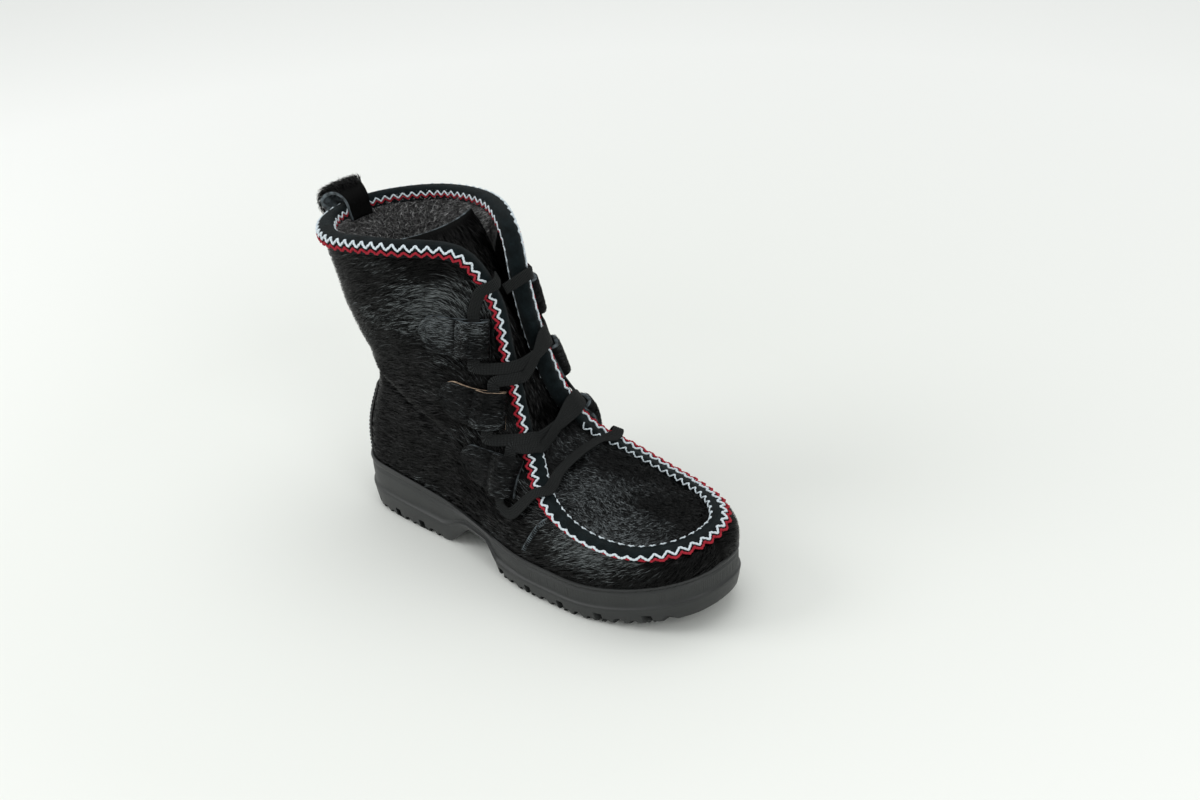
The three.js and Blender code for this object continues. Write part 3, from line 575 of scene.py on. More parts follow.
def tube(path, normals, radius, sides, closed, twist=0.0, ply=0.0):
    # radius and twist give a yarn laid from two plies
    if closed:
        tangent = unit(np.roll(path, -1, 0) - np.roll(path, 1, 0))
    else:
        tangent = unit(np.gradient(path, axis=0))
    side = unit(np.cross(tangent, normals))
    normal = np.cross(side, tangent)
    length = lengthAlong(path)
    angle = np.linspace(0, 2 * np.pi, sides, endpoint=False)
    swell = 1 + ply * np.cos(2 * (angle[None] - twist * length[:, None]))
    across = np.cos(angle)[None, :, None] * side[:, None]
    out = np.sin(angle)[None, :, None] * normal[:, None]
    points = path[:, None] + radius * swell[..., None] * (across + out)
    uv = np.stack(np.broadcast_arrays(length[:, None], angle[None] / 3), -1)
    faces = gridFaces(len(path), sides, wrapColumns=closed, wrapRows=True)
    return points.reshape(-1, 3), facingOut(points.reshape(-1, 3), faces), uv.reshape(-1, 2)


def tubesPiece(name, tubes, materialName):
    points, faces, uvs = zip(*tubes)
    starts = np.cumsum([0] + [len(p) for p in points])
    newPiece(
        name, np.concatenate(points), np.concatenate([f + s for f, s in zip(faces, starts)]),
        np.concatenate(uvs), [materialName],
    )


# Fur: each hair is a thin kite, lying along the hide from its root


# where highlights are painted into the hair's tone: middle and reach along x, the same along z or
# y, and how strongly
paintedHighlightSpots = {
    "shaft": (102, 28, 168, 20, 1.7), "toe": (205, 26, -10, 19, 0.8),
    "vamp": (224, 34, 52, 15, 1.5),
}


def paintedHighlight(name, x, other):
    middleX, reachX, middle, reach, strength = paintedHighlightSpots[name]
    return strength * np.exp(-(((x - middleX) / reachX) ** 2) - ((other - middle) / reach) ** 2)


def paintedSheenAt(p):
    # painted highlight: slow patches and streaks where the hair's tone is lightened to stand in for
    # light on the coat, widest high on the outer side of the shaft
    x, y, z = p[:, 0], p[:, 1], p[:, 2]
    patch = np.sin(x / 19 + 1.7 * np.sin(z / 23 + y / 31)) * np.sin(z / 13 - x / 37 + y / 17)
    streak = np.sin(z / 3.1 + 1.5 * np.sin(x / 16) + y / 9) * np.sin(z / 1.7 + x / 21)
    # painted highlight spots on the shaft's outer side, the toe's top and the front of the vamp
    paintedGlow = paintedHighlight("shaft", x, z) * (y < 0) + paintedHighlight("toe", x, y) * (z < 100)
    paintedGlow = paintedGlow + paintedHighlight("vamp", x, z) * (y < -10)
    return np.clip(0.34 + 0.34 * patch + 0.2 * streak + paintedGlow, 0, 1.9)


# how single hairs vary: length, lift, roll about their axis and tone
hair = {"lengths": (0.6, 1.25), "lifts": (0.3, 1.3), "roll": 0.8, "low": 1.2, "high": 2.2}


def hairPiece(name, surface, rows, shares, flow, look):
    count = len(rows)
    p, alongRow, alongShare = slopes(surface, rows, shares)
    normal = surfaceNormal(surface, rows, shares)
    flow = flow(rows, shares) if callable(flow) else flow
    angle = flow + rng.normal(0, look["spread"], count)
    level = unit(alongRow)
    rise = unit(np.cross(normal, level))
    rise = np.where((rise * alongShare).sum(-1, keepdims=True) < 0, -rise, rise)
    way = level * np.cos(angle)[:, None] + rise * np.sin(angle)[:, None]
    stepRow, stepShare = surfaceStep(alongRow, alongShare, way, lambda det: np.maximum(det, 1e-3))
    length = look["length"] * rng.uniform(*hair["lengths"], count)
    # near a pole of the grid a hair is cut short, so that none flies off the hide
    length = np.minimum(length, look.get("rowLimit", 0.9) / np.maximum(np.abs(stepRow), 1e-6))
    length = np.minimum(length, look.get("shareLimit", 0.25) / np.maximum(np.abs(stepShare), 1e-6))
    lift = look["lift"] * rng.uniform(*hair["lifts"], count)
    middle, tip = (
        surface(rows + stepRow * length * part, shares + stepShare * length * part)
        + normal * (lift * high)[:, None]
        for part, high in ((0.5, 0.6), (1, 1))
    )
    roll = rng.normal(0, hair["roll"], count)[:, None]
    across = np.cross(unit(tip - p), normal)
    across = unit(across * np.cos(roll) + normal * np.sin(roll)) * look["width"] / 2
    points = np.stack([p + normal * 0.05, middle - across, middle + across, tip], 1).reshape(-1, 3)
    base = 4 * np.arange(count)[:, None]
    faces = np.concatenate([base + [0, 2, 1], base + [1, 2, 3]], 1).reshape(-1, 3)
    toneWithPaintedSheen = rng.beta(look.get("toneLow", hair["low"]), look.get("toneHigh", hair["high"]), count)
    # painted highlight: each hair's tone is lifted where the painted sheen falls, and more by the
    # piece's highlight gain, as on the tabs
    if look.get("sheen", 1):
        toneWithPaintedSheen = np.clip(toneWithPaintedSheen * (0.25 + 1.1 * paintedSheenAt(p)) * look.get("paintedHighlightGain", 1), 0, 1)
    uv = np.stack([np.repeat(toneWithPaintedSheen, 4), np.tile([0.0, 0.5, 0.5, 1.0], count)], -1)
    newPiece(name, points, faces, uv, [look.get("material", "wallHair")])


# The upper: hide with its wool lining, closed along both edges

upperLook = {
    "around": 320, "levels": 46, "insideLevels": 30, "liningFrom": 10.5,
    # depth and reach of the fold, the swell over it, and the rows where it sets in
    "crease": 3.0, "creaseReach": 3.4, "swell": 0.55, "swellAt": 2.2, "creaseStart": (8.4, 9.8),
    # no waves near the foot and the edge; before this row they go up, behind it out
    "footCalm": (0.02, 0.15), "edgeCalm": (0.86, 0.97), "upRow": 7.5, "upShare": 0.6,
}
# the fold over the ankle on both sides: row, and height of the fold in mm
creaseRows = [8.6, 9.6, 10.6, 11.8, 12.9, 14.0]
creaseHeights = [84.0, 88.0, 93.0, 101.0, 112.0, 118.0]


def waves(p):
    # slow unevenness of a soft boot, in millimetres
    x, y, z = p[..., 0], p[..., 1], p[..., 2]
    slow = np.sin(x / 17 + 1.3 * np.sin(z / 21)) * np.sin(z / 15 + 0.8 + y / 40)
    fine = np.sin(x / 7.3 + z / 9.1) * np.sin(z / 6.2 - x / 11.7 + y / 13)
    return 0.7 * slow + 0.3 * fine


def skinPoint(rows, shares):
    p = upperPoint(rows, shares)
    rows = np.broadcast_to(np.asarray(rows, float), p.shape[:-1]) % ringCount
    fromToe = np.where(rows > lastRow, ringCount - rows, rows)
    height = np.interp(fromToe, creaseRows, creaseHeights)
    off = (p[..., 2] - height) / upperLook["creaseReach"]
    swell = upperLook["swell"] * np.exp(-((off - upperLook["swellAt"]) ** 2) / 2)
    fold = swell - np.exp(-off * off)
    fold = fold * smooth(*upperLook["creaseStart"], fromToe) * upperLook["crease"]
    calm = smooth(*upperLook["footCalm"], shares) * (1 - smooth(*upperLook["edgeCalm"], shares))
    move = (waves(p) + fold) * calm
    inward = np.stack([0.3 * last["length"] - p[..., 0], -p[..., 1], 0 * p[..., 0]], -1)
    behind = fromToe[..., None] > upperLook["upRow"]
    way = np.where(behind, -unit(inward + 1e-9), [0.0, 0.0, upperLook["upShare"]])
    return p + way * move[..., None]


def upperPiece():
    rows = np.linspace(0, ringCount, upperLook["around"], endpoint=False)[:, None]
    shares = np.linspace(0, 1, upperLook["levels"])[None]
    outer = skinPoint(*spread(rows, shares))
    back = np.linspace(1, 0, upperLook["insideLevels"])[None]
    wall = upperNormal(*spread(rows, back))
    inner = upperPoint(rows, back) - wall * last["upperWall"]
    grid = np.concatenate([outer, inner], 1)
    lined = np.abs(signedRow(rows)) > upperLook["liningFrom"]
    inside = np.arange(grid.shape[1])[None] >= upperLook["levels"] - 1
    uv = np.stack(spread(rows * 22, np.concatenate([shares, back], 1) * 150), -1)
    gridPiece(
        "upperHide", grid, uv, ["wallHide", "liningHide"], "upper",
        faceMaterial=(inside & lined).astype(int).ravel(),
    )


upperPiece()
print("upper")

# The toe's top piece, with its own rows lengthwise

apronLook = {"lengthwise": 70, "crosswise": 44, "puff": 1.2}


def apronSkin(rows, across):
    p = apronPlace(rows, np.clip(across, -0.03, 1.03))
    x, y = p[..., 0], p[..., 1]
    puff = np.sin(x / 9 + np.sin(y / 13)) * np.sin(y / 11 + 1) + 0.5 * np.sin(x / 5 - y / 7)
    calm = smooth(0.04, 0.2, across) * (1 - smooth(0.8, 0.96, across))
    p[..., 2] += apronLook["puff"] * puff * calm * smooth(0.5, 1.5, rows)
    return p


def apronPiece():
    t = np.linspace(0, 1, apronLook["lengthwise"])[:, None]
    rows = lerp(0.22, last["apronEndRow"], t**0.8)
    across = np.linspace(-0.02, 1.02, apronLook["crosswise"])[None]
    outer = apronSkin(*spread(rows, across))
    inner = outer - [0, 0, last["upperWall"] * 0.9]
    uv = np.stack([outer[..., 0], outer[..., 1]], -1)
    slabPiece("toeTopHide", outer, inner, uv, ["toeHide"], "fur", "upper")


apronPiece()
print("toe top")

# Tongue: middle x, height, half width and how far its sides lie back, as shares

tongueLook = {
    "thickness": 4, "stations": 9, "crosswise": 33, "lengthwise": 60, "sideGap": 2.4,
    "edge": 0.9, "edgeDepth": 0.3, "edgeSteps": 90,
    # rows short of the toe piece's end where the tongue runs in under it
    "under": (0.75, 0.4, 0.02),
}
tongueRows = [
    [0.532, 0.425, 0.4, 0.015], [0.498, 0.53, 0.48, 0.04], [0.452, 0.676, 0.48, 0.055],
    [0.395, 0.812, 0.5, 0.05], [0.335, 0.918, 0.55, 0.035], [0.276, 0.995, 0.58, 0.022],
]


def tongueGrid():
    across = np.linspace(-1, 1, tongueLook["stations"])
    sections = []
    for back in tongueLook["under"]:
        edge = upperPoint(last["apronEndRow"] - back, 1.0)
        wide = abs(edge[1]) - last["upperWall"] - tongueLook["sideGap"]
        p = apronAt(np.full(across.shape, edge[0]), across * wide)
        p[:, 2] -= last["upperWall"] + 5 * last["gap"]
        sections.append(p)
    for x, high, wide, drop in tongueRows:
        back = drop * across**2 * last["length"]
        z = np.full(across.shape, high * last["height"])
        sections.append(np.stack([x * last["length"] - back, across * wide * half, z], -1))
    sections = np.array(sections)
    columns = openCurve(sections, tongueLook["lengthwise"])
    return openCurve(columns.transpose(1, 0, 2), tongueLook["crosswise"])


def gridNormals(grid):
    across, along = np.gradient(grid, axis=0), np.gradient(grid, axis=1)
    normal = unit(np.cross(across, along))
    turned = (normal[..., :1] + normal[..., 2:]) < 0
    return np.where(turned, -normal, normal)


tongueSheet = tongueGrid()
tongueNormals = gridNormals(tongueSheet)


def gridSurface(grid):
    columns, rows = grid.shape[:2]

    def at(u, v):
        u, v = np.clip(u, 0, columns - 1.001), np.clip(v, 0, 1) * (rows - 1.001)
        i, j = u.astype(int), v.astype(int)
        s, t = (u - i)[..., None], (v - j)[..., None]
        near = lerp(grid[i, j], grid[i + 1, j], s)
        return lerp(near, lerp(grid[i, j + 1], grid[i + 1, j + 1], s), t)

    return at


def tonguePiece():
    inner = tongueSheet - tongueNormals * tongueLook["thickness"]
    columns, levels = tongueSheet.shape[:2]
    uv = pairs(np.arange(columns) * 1.4, np.arange(levels) * 2.5)[..., ::-1]
    slabPiece(
        "tongueHide", tongueSheet, inner, uv, ["wallHide", "liningHide", "cutEdge"], "fur", "tongue"
    )
    normals = tongueNormals[:, -1]
    top = tongueSheet[:, -1] - normals * tongueLook["thickness"] * tongueLook["edgeDepth"]
    top, normals = (openCurve(v, tongueLook["edgeSteps"]) for v in (top, normals))
    edge = tube(top, normals, tongueLook["edge"], 8, False, twist=1.6, ply=0.18)
    tubesPiece("tongueEdge", [edge], "cutEdge")


tonguePiece()
print("tongue")

# Felt bound over the upper's edge: distance along the wall from its edge, height off the wall

felt = {"thickness": 2.4, "drop": 6.4, "step": 0.05, "start": 6.5, "fuzz": 0.05}
feltFar = last["bedding"] + felt["thickness"]
feltInside = -last["upperWall"] - last["bedding"] - 2 * last["gap"] - felt["thickness"]
foldOutline = [
    (5.6, 1.0), (5.9, 2.0), (5.2, 2.8), (3.8, 3.1), (2.1, 3.2), (0.3, 3.1), (-1.4, 2.2),
    (-2.4, 0.6), (-2.8, -1.6), (-2.75, -3.4), (-2.3, -5.2), (-1.2, -6.7), (0.3, -7.4),
    (2.4, -7.5), (4.6, -7.4), (6.2, -6.9), (6.6, -5.8), (6.2, -4.9), (3.0, -4.6), (0.3, -4.2),
    (-0.2, -2.0), (0.3, 0.4), (3.0, 0.6),
]


def feltStrip(name, rows, shape, around, spotOf, node):
    # a closed outline carried along the rows and drawn to a point at both ends
    profile = openCurve(np.array(shape + shape[:1]), around)[:-1]
    r, d = np.meshgrid(rows, profile[:, 0], indexing="ij")
    spot, normal = spotOf(r, d)
    grid = spot + normal * profile[None, :, 1, None]
    grid = grid + rng.normal(0, felt["fuzz"], grid.shape)
    start, end = (
        g.mean(1, keepdims=True).repeat(grid.shape[1], 1) for g in (grid[:1], grid[-1:])
    )
    grid = np.concatenate([start, grid, end])
    uv = pairs(np.arange(len(grid)) * 1.1, np.arange(grid.shape[1]) * 1.0)
    gridPiece(name, grid, uv, ["felt"], node, wrapColumns=False)


# across the toe's felt: distance from the seam (outwards on the wall, inwards on the top), height
ridge = {"end": 6.46, "steps": 290}
ridgeOutline = [
    (6.8, 0.8), (6.6, 1.9), (5.5, 2.7), (3.8, 3.1), (1.8, 3.4), (0.2, 3.6), (-1.3, 3.5),
    (-2.6, 2.9), (-3.1, 1.9), (-3.1, 0.6), (-2.7, 0.2), (-0.5, 0.35), (2.5, 0.4), (5.2, 0.5),
]
# how far the felt lies outside the seam, in mm by signed row; the inner side is negative
shiftRows = [-6.5, -5.2, -4, -3, -2.2, -1.3, -0.6, 0, 1.5, 3, 4.3, 5.2, 6.4]
shiftSizes = [-3.0, -4.4, -5.2, -5.6, -5.0, -2.6, -0.2, 0.5, 0.2, 0.7, -0.2, -1.7, -2.4]


def ridgeSpot(rows, distance):
    distance = distance + np.interp(signedRow(rows), shiftRows, shiftSizes)
    point, normal, _, inward = edgeFrame(rows)
    wall, wallNormal = besideEdge(rows, np.maximum(distance, 0))
    top = point + inward * np.minimum(distance, 0)[..., None]
    top = apronAt(top[..., 0], top[..., 1])
    beyond = (distance <= 0)[..., None]
    return np.where(beyond, top, wall), np.where(beyond, normal, wallNormal)


collarRows = np.arange(felt["start"], ringCount - felt["start"] + 1e-6, felt["step"])
feltStrip("collarFelt", collarRows, foldOutline, 46, besideEdge, "collar_trim")
toeRows = np.linspace(-ridge["end"], ridge["end"], ridge["steps"])
feltStrip("toeFelt", toeRows, ridgeOutline, 34, ridgeSpot, "toe_trim")
print("felt")

# Zigzag stitching over both edges of the felt: yarn of two plies, 7 mm from peak to peak

zigzag = {
    "pitch": 6.9, "yarn": 0.7, "redYarn": 0.78, "plyTurn": 1.5, "ply": 0.2, "sides": 6, "step": 0.5,
    "swing": 1.35, "toeMiddle": 5.0, "hideHeight": 1.4, "sink": 0.7,
    # how sharp the turns are, how much longer the yarn is than its edge, and where it starts
    "turn": 0.985, "slack": 1.75, "collarStart": 6.7, "toeEnd": 6.2,
}
# inside the throat: distance from the edge and height; down the toe's inner side: share of the
# way down and distance
insideDistances, insideHeights = [-2.8, -1.6, 0.3, 6], [-4.0, -6.2, -7.4, -7.5]
toeShares, toeReaches = [0, 0.35, 1], [-1.9, -3.2, -3.8]
# middle of the white zigzag on the collar's felt, in mm from the edge by rows from the toe
stitchRows = [6.2, 8, 9.5, 10.2, 11, 12, 14]
stitchMiddles = [2.9, 2.4, 1.7, -0.6, -1.2, -0.9, -0.8]
redDrops = [2.5, 2.6, 2.9, 3.3, 3.7, 3.8, 3.8]
edgeRows = np.linspace(0, ringCount, 4001)
edgeLine = upperPoint(edgeRows, 1.0)
edgeLength = lengthAlong(edgeLine)


def zigzagWay(firstRow, lastRowOn, closed):
    # rows along the edge and a wave from -1 to 1, with short rounded turns
    start, end = np.interp([firstRow, lastRowOn], edgeRows, edgeLength)
    turns = max(1, round((end - start) / zigzag["pitch"]))
    count = int(turns * zigzag["pitch"] * zigzag["slack"] / zigzag["step"])
    s = np.linspace(0, turns, count, endpoint=not closed)
    rows = np.interp(start + s / turns * (end - start), edgeLength, edgeRows)
    wave = 2 * np.abs(2 * (s % 1) - 1) - 1
    turn = zigzag["turn"]
    return rows, np.arcsin(turn * np.cos(np.pi * (1 - wave) / 2)) / np.arcsin(turn)


def heightOn(shape, distance):
    distances, heights = zip(*sorted(shape))
    return np.interp(distance, distances, heights)


def yarn(path, normal, radius, closed=False):
    return tube(
        path, normal, radius, zigzag["sides"], closed, zigzag["plyTurn"], zigzag["ply"]
    )


def outerStitch(name, below, radius, materialName):
    rows, wave = zigzagWay(0, ringCount, True)
    fromToe = np.abs(signedRow(rows))
    drop = below * np.interp(fromToe, stitchRows, redDrops)
    collar = smooth(6.2, 6.8, fromToe)
    onToe = zigzag["toeMiddle"] + drop - zigzag["swing"] * wave
    onCollar = np.interp(fromToe, stitchRows, stitchMiddles) + drop - zigzag["swing"] * wave
    toe, toeNormal = ridgeSpot(rows, onToe)
    top, topNormal = besideEdge(rows, onCollar)
    toeHeight = heightOn(ridgeOutline[:9], onToe)
    toeHeight = lerp(toeHeight, zigzag["hideHeight"], smooth(6.0, 7.4, onToe))
    topHeight = heightOn(foldOutline[:8], onCollar)
    topHeight = lerp(topHeight, zigzag["hideHeight"], smooth(5.3, 6.6, onCollar))
    height = lerp(toeHeight, topHeight, collar) + radius * zigzag["sink"]
    spot = lerp(toe, top, collar[:, None])
    normal = unit(lerp(toeNormal, topNormal, collar[:, None]))
    path = spot + normal * height[:, None]
    tubesPiece(name, [yarn(path, normal, radius, True)], materialName)


def innerStitch(name, low, high, radius, materialName, toe):
    # down the inside of the collar and throat, and down the inner side of the toe's felt
    rows, wave = zigzagWay(zigzag["collarStart"], ringCount - zigzag["collarStart"], False)
    distance = lerp(low, high, (1 - wave) / 2)
    spot, normal = besideEdge(rows, distance)
    inset = np.interp(distance, insideDistances, insideHeights) - radius * zigzag["sink"]
    made = [yarn(spot + normal * inset[:, None], -normal, radius)]
    for side in (-1, 1) if toe else ():
        rows, wave = zigzagWay(0.02, zigzag["toeEnd"], False)
        share = (1 - wave) / 2
        signed = rows if side < 0 else ringCount - rows
        spot, normal = ridgeSpot(signed, np.interp(share, toeShares, toeReaches))
        path = spot + normal * (lerp(3.6, 0.5, share))[:, None]
        made.append(yarn(path, unit(normal * 0.5 - edgeFrame(signed)[3]), radius))
    tubesPiece(name, made, materialName)


outerStitch("outerZigzagWhite", 0, zigzag["yarn"], "whiteThread")
outerStitch("outerZigzagRed", 1, zigzag["redYarn"], "redThread")
innerStitch("innerZigzagWhite", 0.8, 3.4, zigzag["yarn"] * 0.7, "whiteThread", True)
innerStitch("innerZigzagRed", 2.6, 4.8, zigzag["yarn"] * 0.6, "redThread", False)
print("stitching")

# Lace loops: fur tabs sewn flat on the wall, doubled in front round the lace

loops = {
    "length": 46, "halfHeight": 12, "leather": 1.9, "innerLift": 0.3, "tunnelHeight": 3.3,
    "tunnelMiddle": 8.8, "squareUntil": 34, "crown": 0.5, "foldCrown": 0.35, "foldInset": 0.4,
    "stitches": 8, "stitchAt": 17.6, "stitchPitch": 2.7, "stitchReach": 0.9, "yarn": 0.35,
    # row, distance from the edge, how much more on the inner side, and tilt
    "levels": {
        "top": (8.3, 10.5, 0, -0.05), "middle": (7.05, 11, 0, -0.15), "bottom": (5.6, 18, 3, -0.05),
    },
}
tunnelCentre = last["bedding"] + loops["leather"] + loops["tunnelHeight"] / 2


def loopSpine(level, inside):
    row, fromEdge, innerBack, tilt = loops["levels"][level]
    if inside:
        row, fromEdge = ringCount - row - loops["innerLift"], fromEdge + innerBack
    steps = 8
    point, normal = besideEdge(np.array([row]), np.array([fromEdge]))
    rows, shares, point, normal = onUpper(point, [row], [0.9])
    spine = []
    for _ in range(steps + 1):
        back = unit(np.cross([0, 0, 1.0], normal))
        back = np.where(back[:, :1] > 0, -back, back)
        back = unit(back - np.array([0, 0, tilt]))
        rise = unit(np.cross(normal, back))
        rise = np.where(rise[:, 2:] < 0, -rise, rise)
        spine.append((rows[0], shares[0], point[0], rise[0]))
        target = point + back * loops["length"] / steps
        ahead = rows + (-0.1 if inside else 0.1)
        rows, shares, point, normal = onUpper(target, ahead, shares - 0.05)
    return [np.array([s[i] for s in spine]) for i in range(4)]


def loopSpot(spine, along, across):
    rows, shares, points, rises = spine
    along, across = spread(along, across)
    at = np.clip(along / loops["length"] * (len(rows) - 1), 0, len(rows) - 1)
    i = np.minimum(at.astype(int), len(rows) - 2)
    t = (at - i)[..., None]
    rise = unit(lerp(rises[i], rises[i + 1], t))
    target = lerp(points[i], points[i + 1], t) + rise * across[..., None]
    _, _, spot, normal = onUpper(target, rows[i], shares[i])
    return spot, normal


def loopGrid(spine, along, share, height, narrower=0.0):
    size = loops["halfHeight"]
    round_ = np.clip((along - (loops["length"] - size)) / size, 0, 0.985)
    wide = size * np.sqrt(1 - round_**2) - narrower
    a, s = np.meshgrid(along, share, indexing="ij")
    spot, normal = loopSpot(spine, a, s * wide[:, None])
    return spot + normal * height[..., None]


def lacePiece(level, inside):
    side = "inner" if inside else "outer"
    spine = loopSpine(level, inside)
    bed, leather = last["bedding"], loops["leather"]
    floor, roof = bed + leather, bed + leather + loops["tunnelHeight"]
    share = np.linspace(-1, 1, 17)
    edge = "creamEdge" if (level, inside) == ("middle", False) else "cutEdge"

    def strip(kind, along, high, low, narrower):
        top, under = (loopGrid(spine, along, share, h, narrower) for h in (high, low))
        slabPiece(
            f"laceTab{kind}_{side}_{level}", top, under, pairs(along, share * loops["halfHeight"]),
            ["toeHide", "toeHide", edge], "fur", f"lace_loop_{side}_{level}",
        )
        return top

    square = loops["squareUntil"]
    roundEnd = (loops["length"] - square) * np.sin(np.linspace(0, 1.4, 14))
    along = np.concatenate([np.arange(square), square + roundEnd])
    puff = loops["crown"] * np.cos(share * 1.4)[None] * smooth(0, 6, along)[:, None]
    flat = strip("", along, floor + puff, bed + 0 * puff, 0)
    # the doubled part: distance along, height of its underside and of its top
    stations = openCurve([
        [0, floor - 0.9, floor + 0.3], [0.8, floor - 0.6, roof], [3, floor - 0.3, roof + leather],
        [5, roof - 0.1, roof + leather + 0.4], [9, roof, roof + leather + 0.6],
        [13.6, roof, roof + leather], [16.4, floor + 0.9, floor + leather + 0.9],
        [18, floor - 0.4, floor + leather], [20, floor - 0.4, floor + 1.2],
    ], 41)
    bulge = loops["foldCrown"] * np.cos(share * 1.5)[None]
    low, high = stations[:, 1:2] + 0 * bulge, stations[:, 2:] + bulge
    fold = strip("Fold", stations[:, 0], high, low, loops["foldInset"])
    # stitches across the tab where its doubled part ends
    tubes = []
    s = np.linspace(-loops["stitchReach"], loops["stitchReach"], 7)
    for k in range(loops["stitches"]):
        across = (k - (loops["stitches"] - 1) / 2) * loops["stitchPitch"] + s
        spot, normal = loopSpot(spine, loops["stitchAt"], across)
        path = spot + normal * (floor + leather - 0.2 + 0.5 * np.sqrt(1 - s**2))[:, None]
        tubes.append(tube(path, normal, loops["yarn"], 6, False))
    tubesPiece(f"laceTabStitch_{side}_{level}", tubes, "cutEdge")
    return spine, flat, fold


spines, tabTops, tabFolds = {}, {}, {}
for level in loops["levels"]:
    for inside in (False, True):
        made = lacePiece(level, inside)
        spines[level, inside], tabTops[level, inside], tabFolds[level, inside] = made
print("lace loops")

# Lace: the same way as the solid, crossed over the tongue

lace = {
    "width": 7.5, "thickness": 1.6, "spread": 0.1, "ribs": 5, "ribDepth": 0.3, "steps": 9,
    "tuckOuter": 1, "tuckInner": 0.9, "tuckShift": 0.15, "tuckDepth": 6, "barBack": 0.45,
}
overFelt = max(feltFar, 3.4) + 2 * last["gap"] + lace["thickness"]


def throughLoop(level, inside):
    across = np.array([1.35, 1, 0, -1, -1.3]) * (loops["halfHeight"] + 1)
    spot, normal = loopSpot(spines[level, inside], loops["tunnelMiddle"], across)
    return list(zip(spot + normal * tunnelCentre, normal))


def belowLoop(inside):
    along = loops["tunnelMiddle"] - np.array([1.5, 8])
    below = -loops["halfHeight"] - np.array([6, 9.5])
    spot, normal = loopSpot(spines["bottom", inside], along, below)
    return list(zip(spot + normal * tunnelCentre, normal))


def overEdge(row):
    _, normal, _, inward = edgeFrame(row)
    away = np.array([felt["drop"] * 0.8, 0, -felt["thickness"] - 2.4])
    spot, up = besideEdge(row, away)
    points = spot + up * np.array([overFelt, overFelt + 0.3, overFelt - 1])[:, None]
    return [(points[0], normal), (points[1], normal), (points[2], unit(normal - inward))]


def onSide(row, inside):
    return ringCount - row if inside else row


def crossing(a, b, start, end):
    row = (loops["levels"][a][0] + loops["levels"][b][0]) / 2
    leave, arrive = (
        overEdge(onSide(row + (loops["innerLift"] if inside else 0) + further, inside))
        for inside, further in ((start, lace["spread"]), (end, -lace["spread"]))
    )
    arrive = arrive[::-1]
    normal = unit(leave[2][1] + arrive[0][1])
    middle = (leave[2][0] + arrive[0][0]) / 2 + normal * 2
    return leave + [(middle, normal)] + arrive


def laceRun(inside):
    # both runs end inside the outer edge of the throat, the inner one under the other
    tuck = loops["levels"]["top"][0] + (lace["tuckInner"] if inside else lace["tuckOuter"])
    end = tuck - lace["tuckShift"] if inside else tuck
    spot, up = besideEdge(end, -felt["thickness"] - 3.0)
    way = [(spot - up * lace["tuckDepth"], -edgeFrame(end)[3])]
    way += overEdge(onSide(tuck, inside))[::-1]
    way += throughLoop("top", inside) + crossing("top", "middle", inside, not inside)
    way += throughLoop("middle", not inside) + crossing("middle", "bottom", not inside, inside)
    return way + throughLoop("bottom", inside)[:4]


def laceBar():
    row = loops["levels"]["bottom"][0] - lace["barBack"]
    lift = loops["innerLift"]
    up = np.array([0, 0, 1.0])
    high = last["gap"] + 2 * lace["thickness"]
    across = [(apronPlace(row + lift * s, s) + up * high, up) for s in (0.2, 0.35, 0.5, 0.65, 0.8)]
    way = belowLoop(False) + overEdge(row)[:2] + across
    way += overEdge(ringCount - row - lift)[:2][::-1] + belowLoop(True)[::-1]
    return way + throughLoop("bottom", True)[2:4][::-1]


def ribbon(way):
    count = lace["steps"] * len(way)
    path = openCurve([w[0] for w in way], count)
    normals = openCurve([w[1] for w in way], count)
    tangent = unit(np.gradient(path, axis=0))
    side = unit(np.cross(tangent, normals))
    normal = unit(np.cross(side, tangent))
    share = np.linspace(-0.5, 0.5, 5 * lace["ribs"] + 1)
    rib = np.abs(np.sin(np.pi * lace["ribs"] * (share + 0.5))) ** 0.7 * lace["ribDepth"]
    thick = lace["thickness"] / 2 * np.sqrt(np.clip(1 - (2 * share) ** 8, 0.05, 1)) - 0.25 + rib
    base = path[:, None] + side[:, None] * (share * lace["width"])[None, :, None]
    top = base + normal[:, None] * thick[None, :, None]
    low = base - normal[:, None] * thick[None, :, None]
    return top, low, pairs(lengthAlong(path), share * lace["width"])


for name, way in (("laceOuter", laceRun(False) + laceBar()), ("laceInner", laceRun(True))):
    slabPiece(name, *ribbon(way), ["webbing"], "webbing", "lace")
print("lace")

# Pull loop over the back of the collar

pull = {
    "width": 22, "thickness": 2.2, "crosswise": 9, "lengthwise": 46,
    # distance down from the wall's edge, and height off the wall's outer face
    "path": [
        (19, last["bedding"]), (12, last["bedding"] + 0.6), (7.5, feltFar + 0.6),
        (2, feltFar + 0.6), (-3, feltFar + 5), (-7, feltFar + 6), (-10, 3), (-9, feltInside + 3),
        (-4, feltInside - 1), (3, feltInside - 0.9), (9, feltInside - 0.9),
    ],
}


def pullGrid():
    span = np.linalg.norm(upperPoint(lastRow + 0.5, 1.0) - upperPoint(lastRow - 0.5, 1.0))
    rows = lastRow + np.linspace(-0.5, 0.5, pull["crosswise"]) * pull["width"] / span
    columns = []
    for row in rows:
        down, off = (np.array(v, float) for v in zip(*pull["path"]))
        spot, normal = besideEdge(np.full(len(down), row), down)
        columns.append(openCurve(spot + normal * off[:, None], pull["lengthwise"]))
    return np.array(columns), edgeFrame(rows)


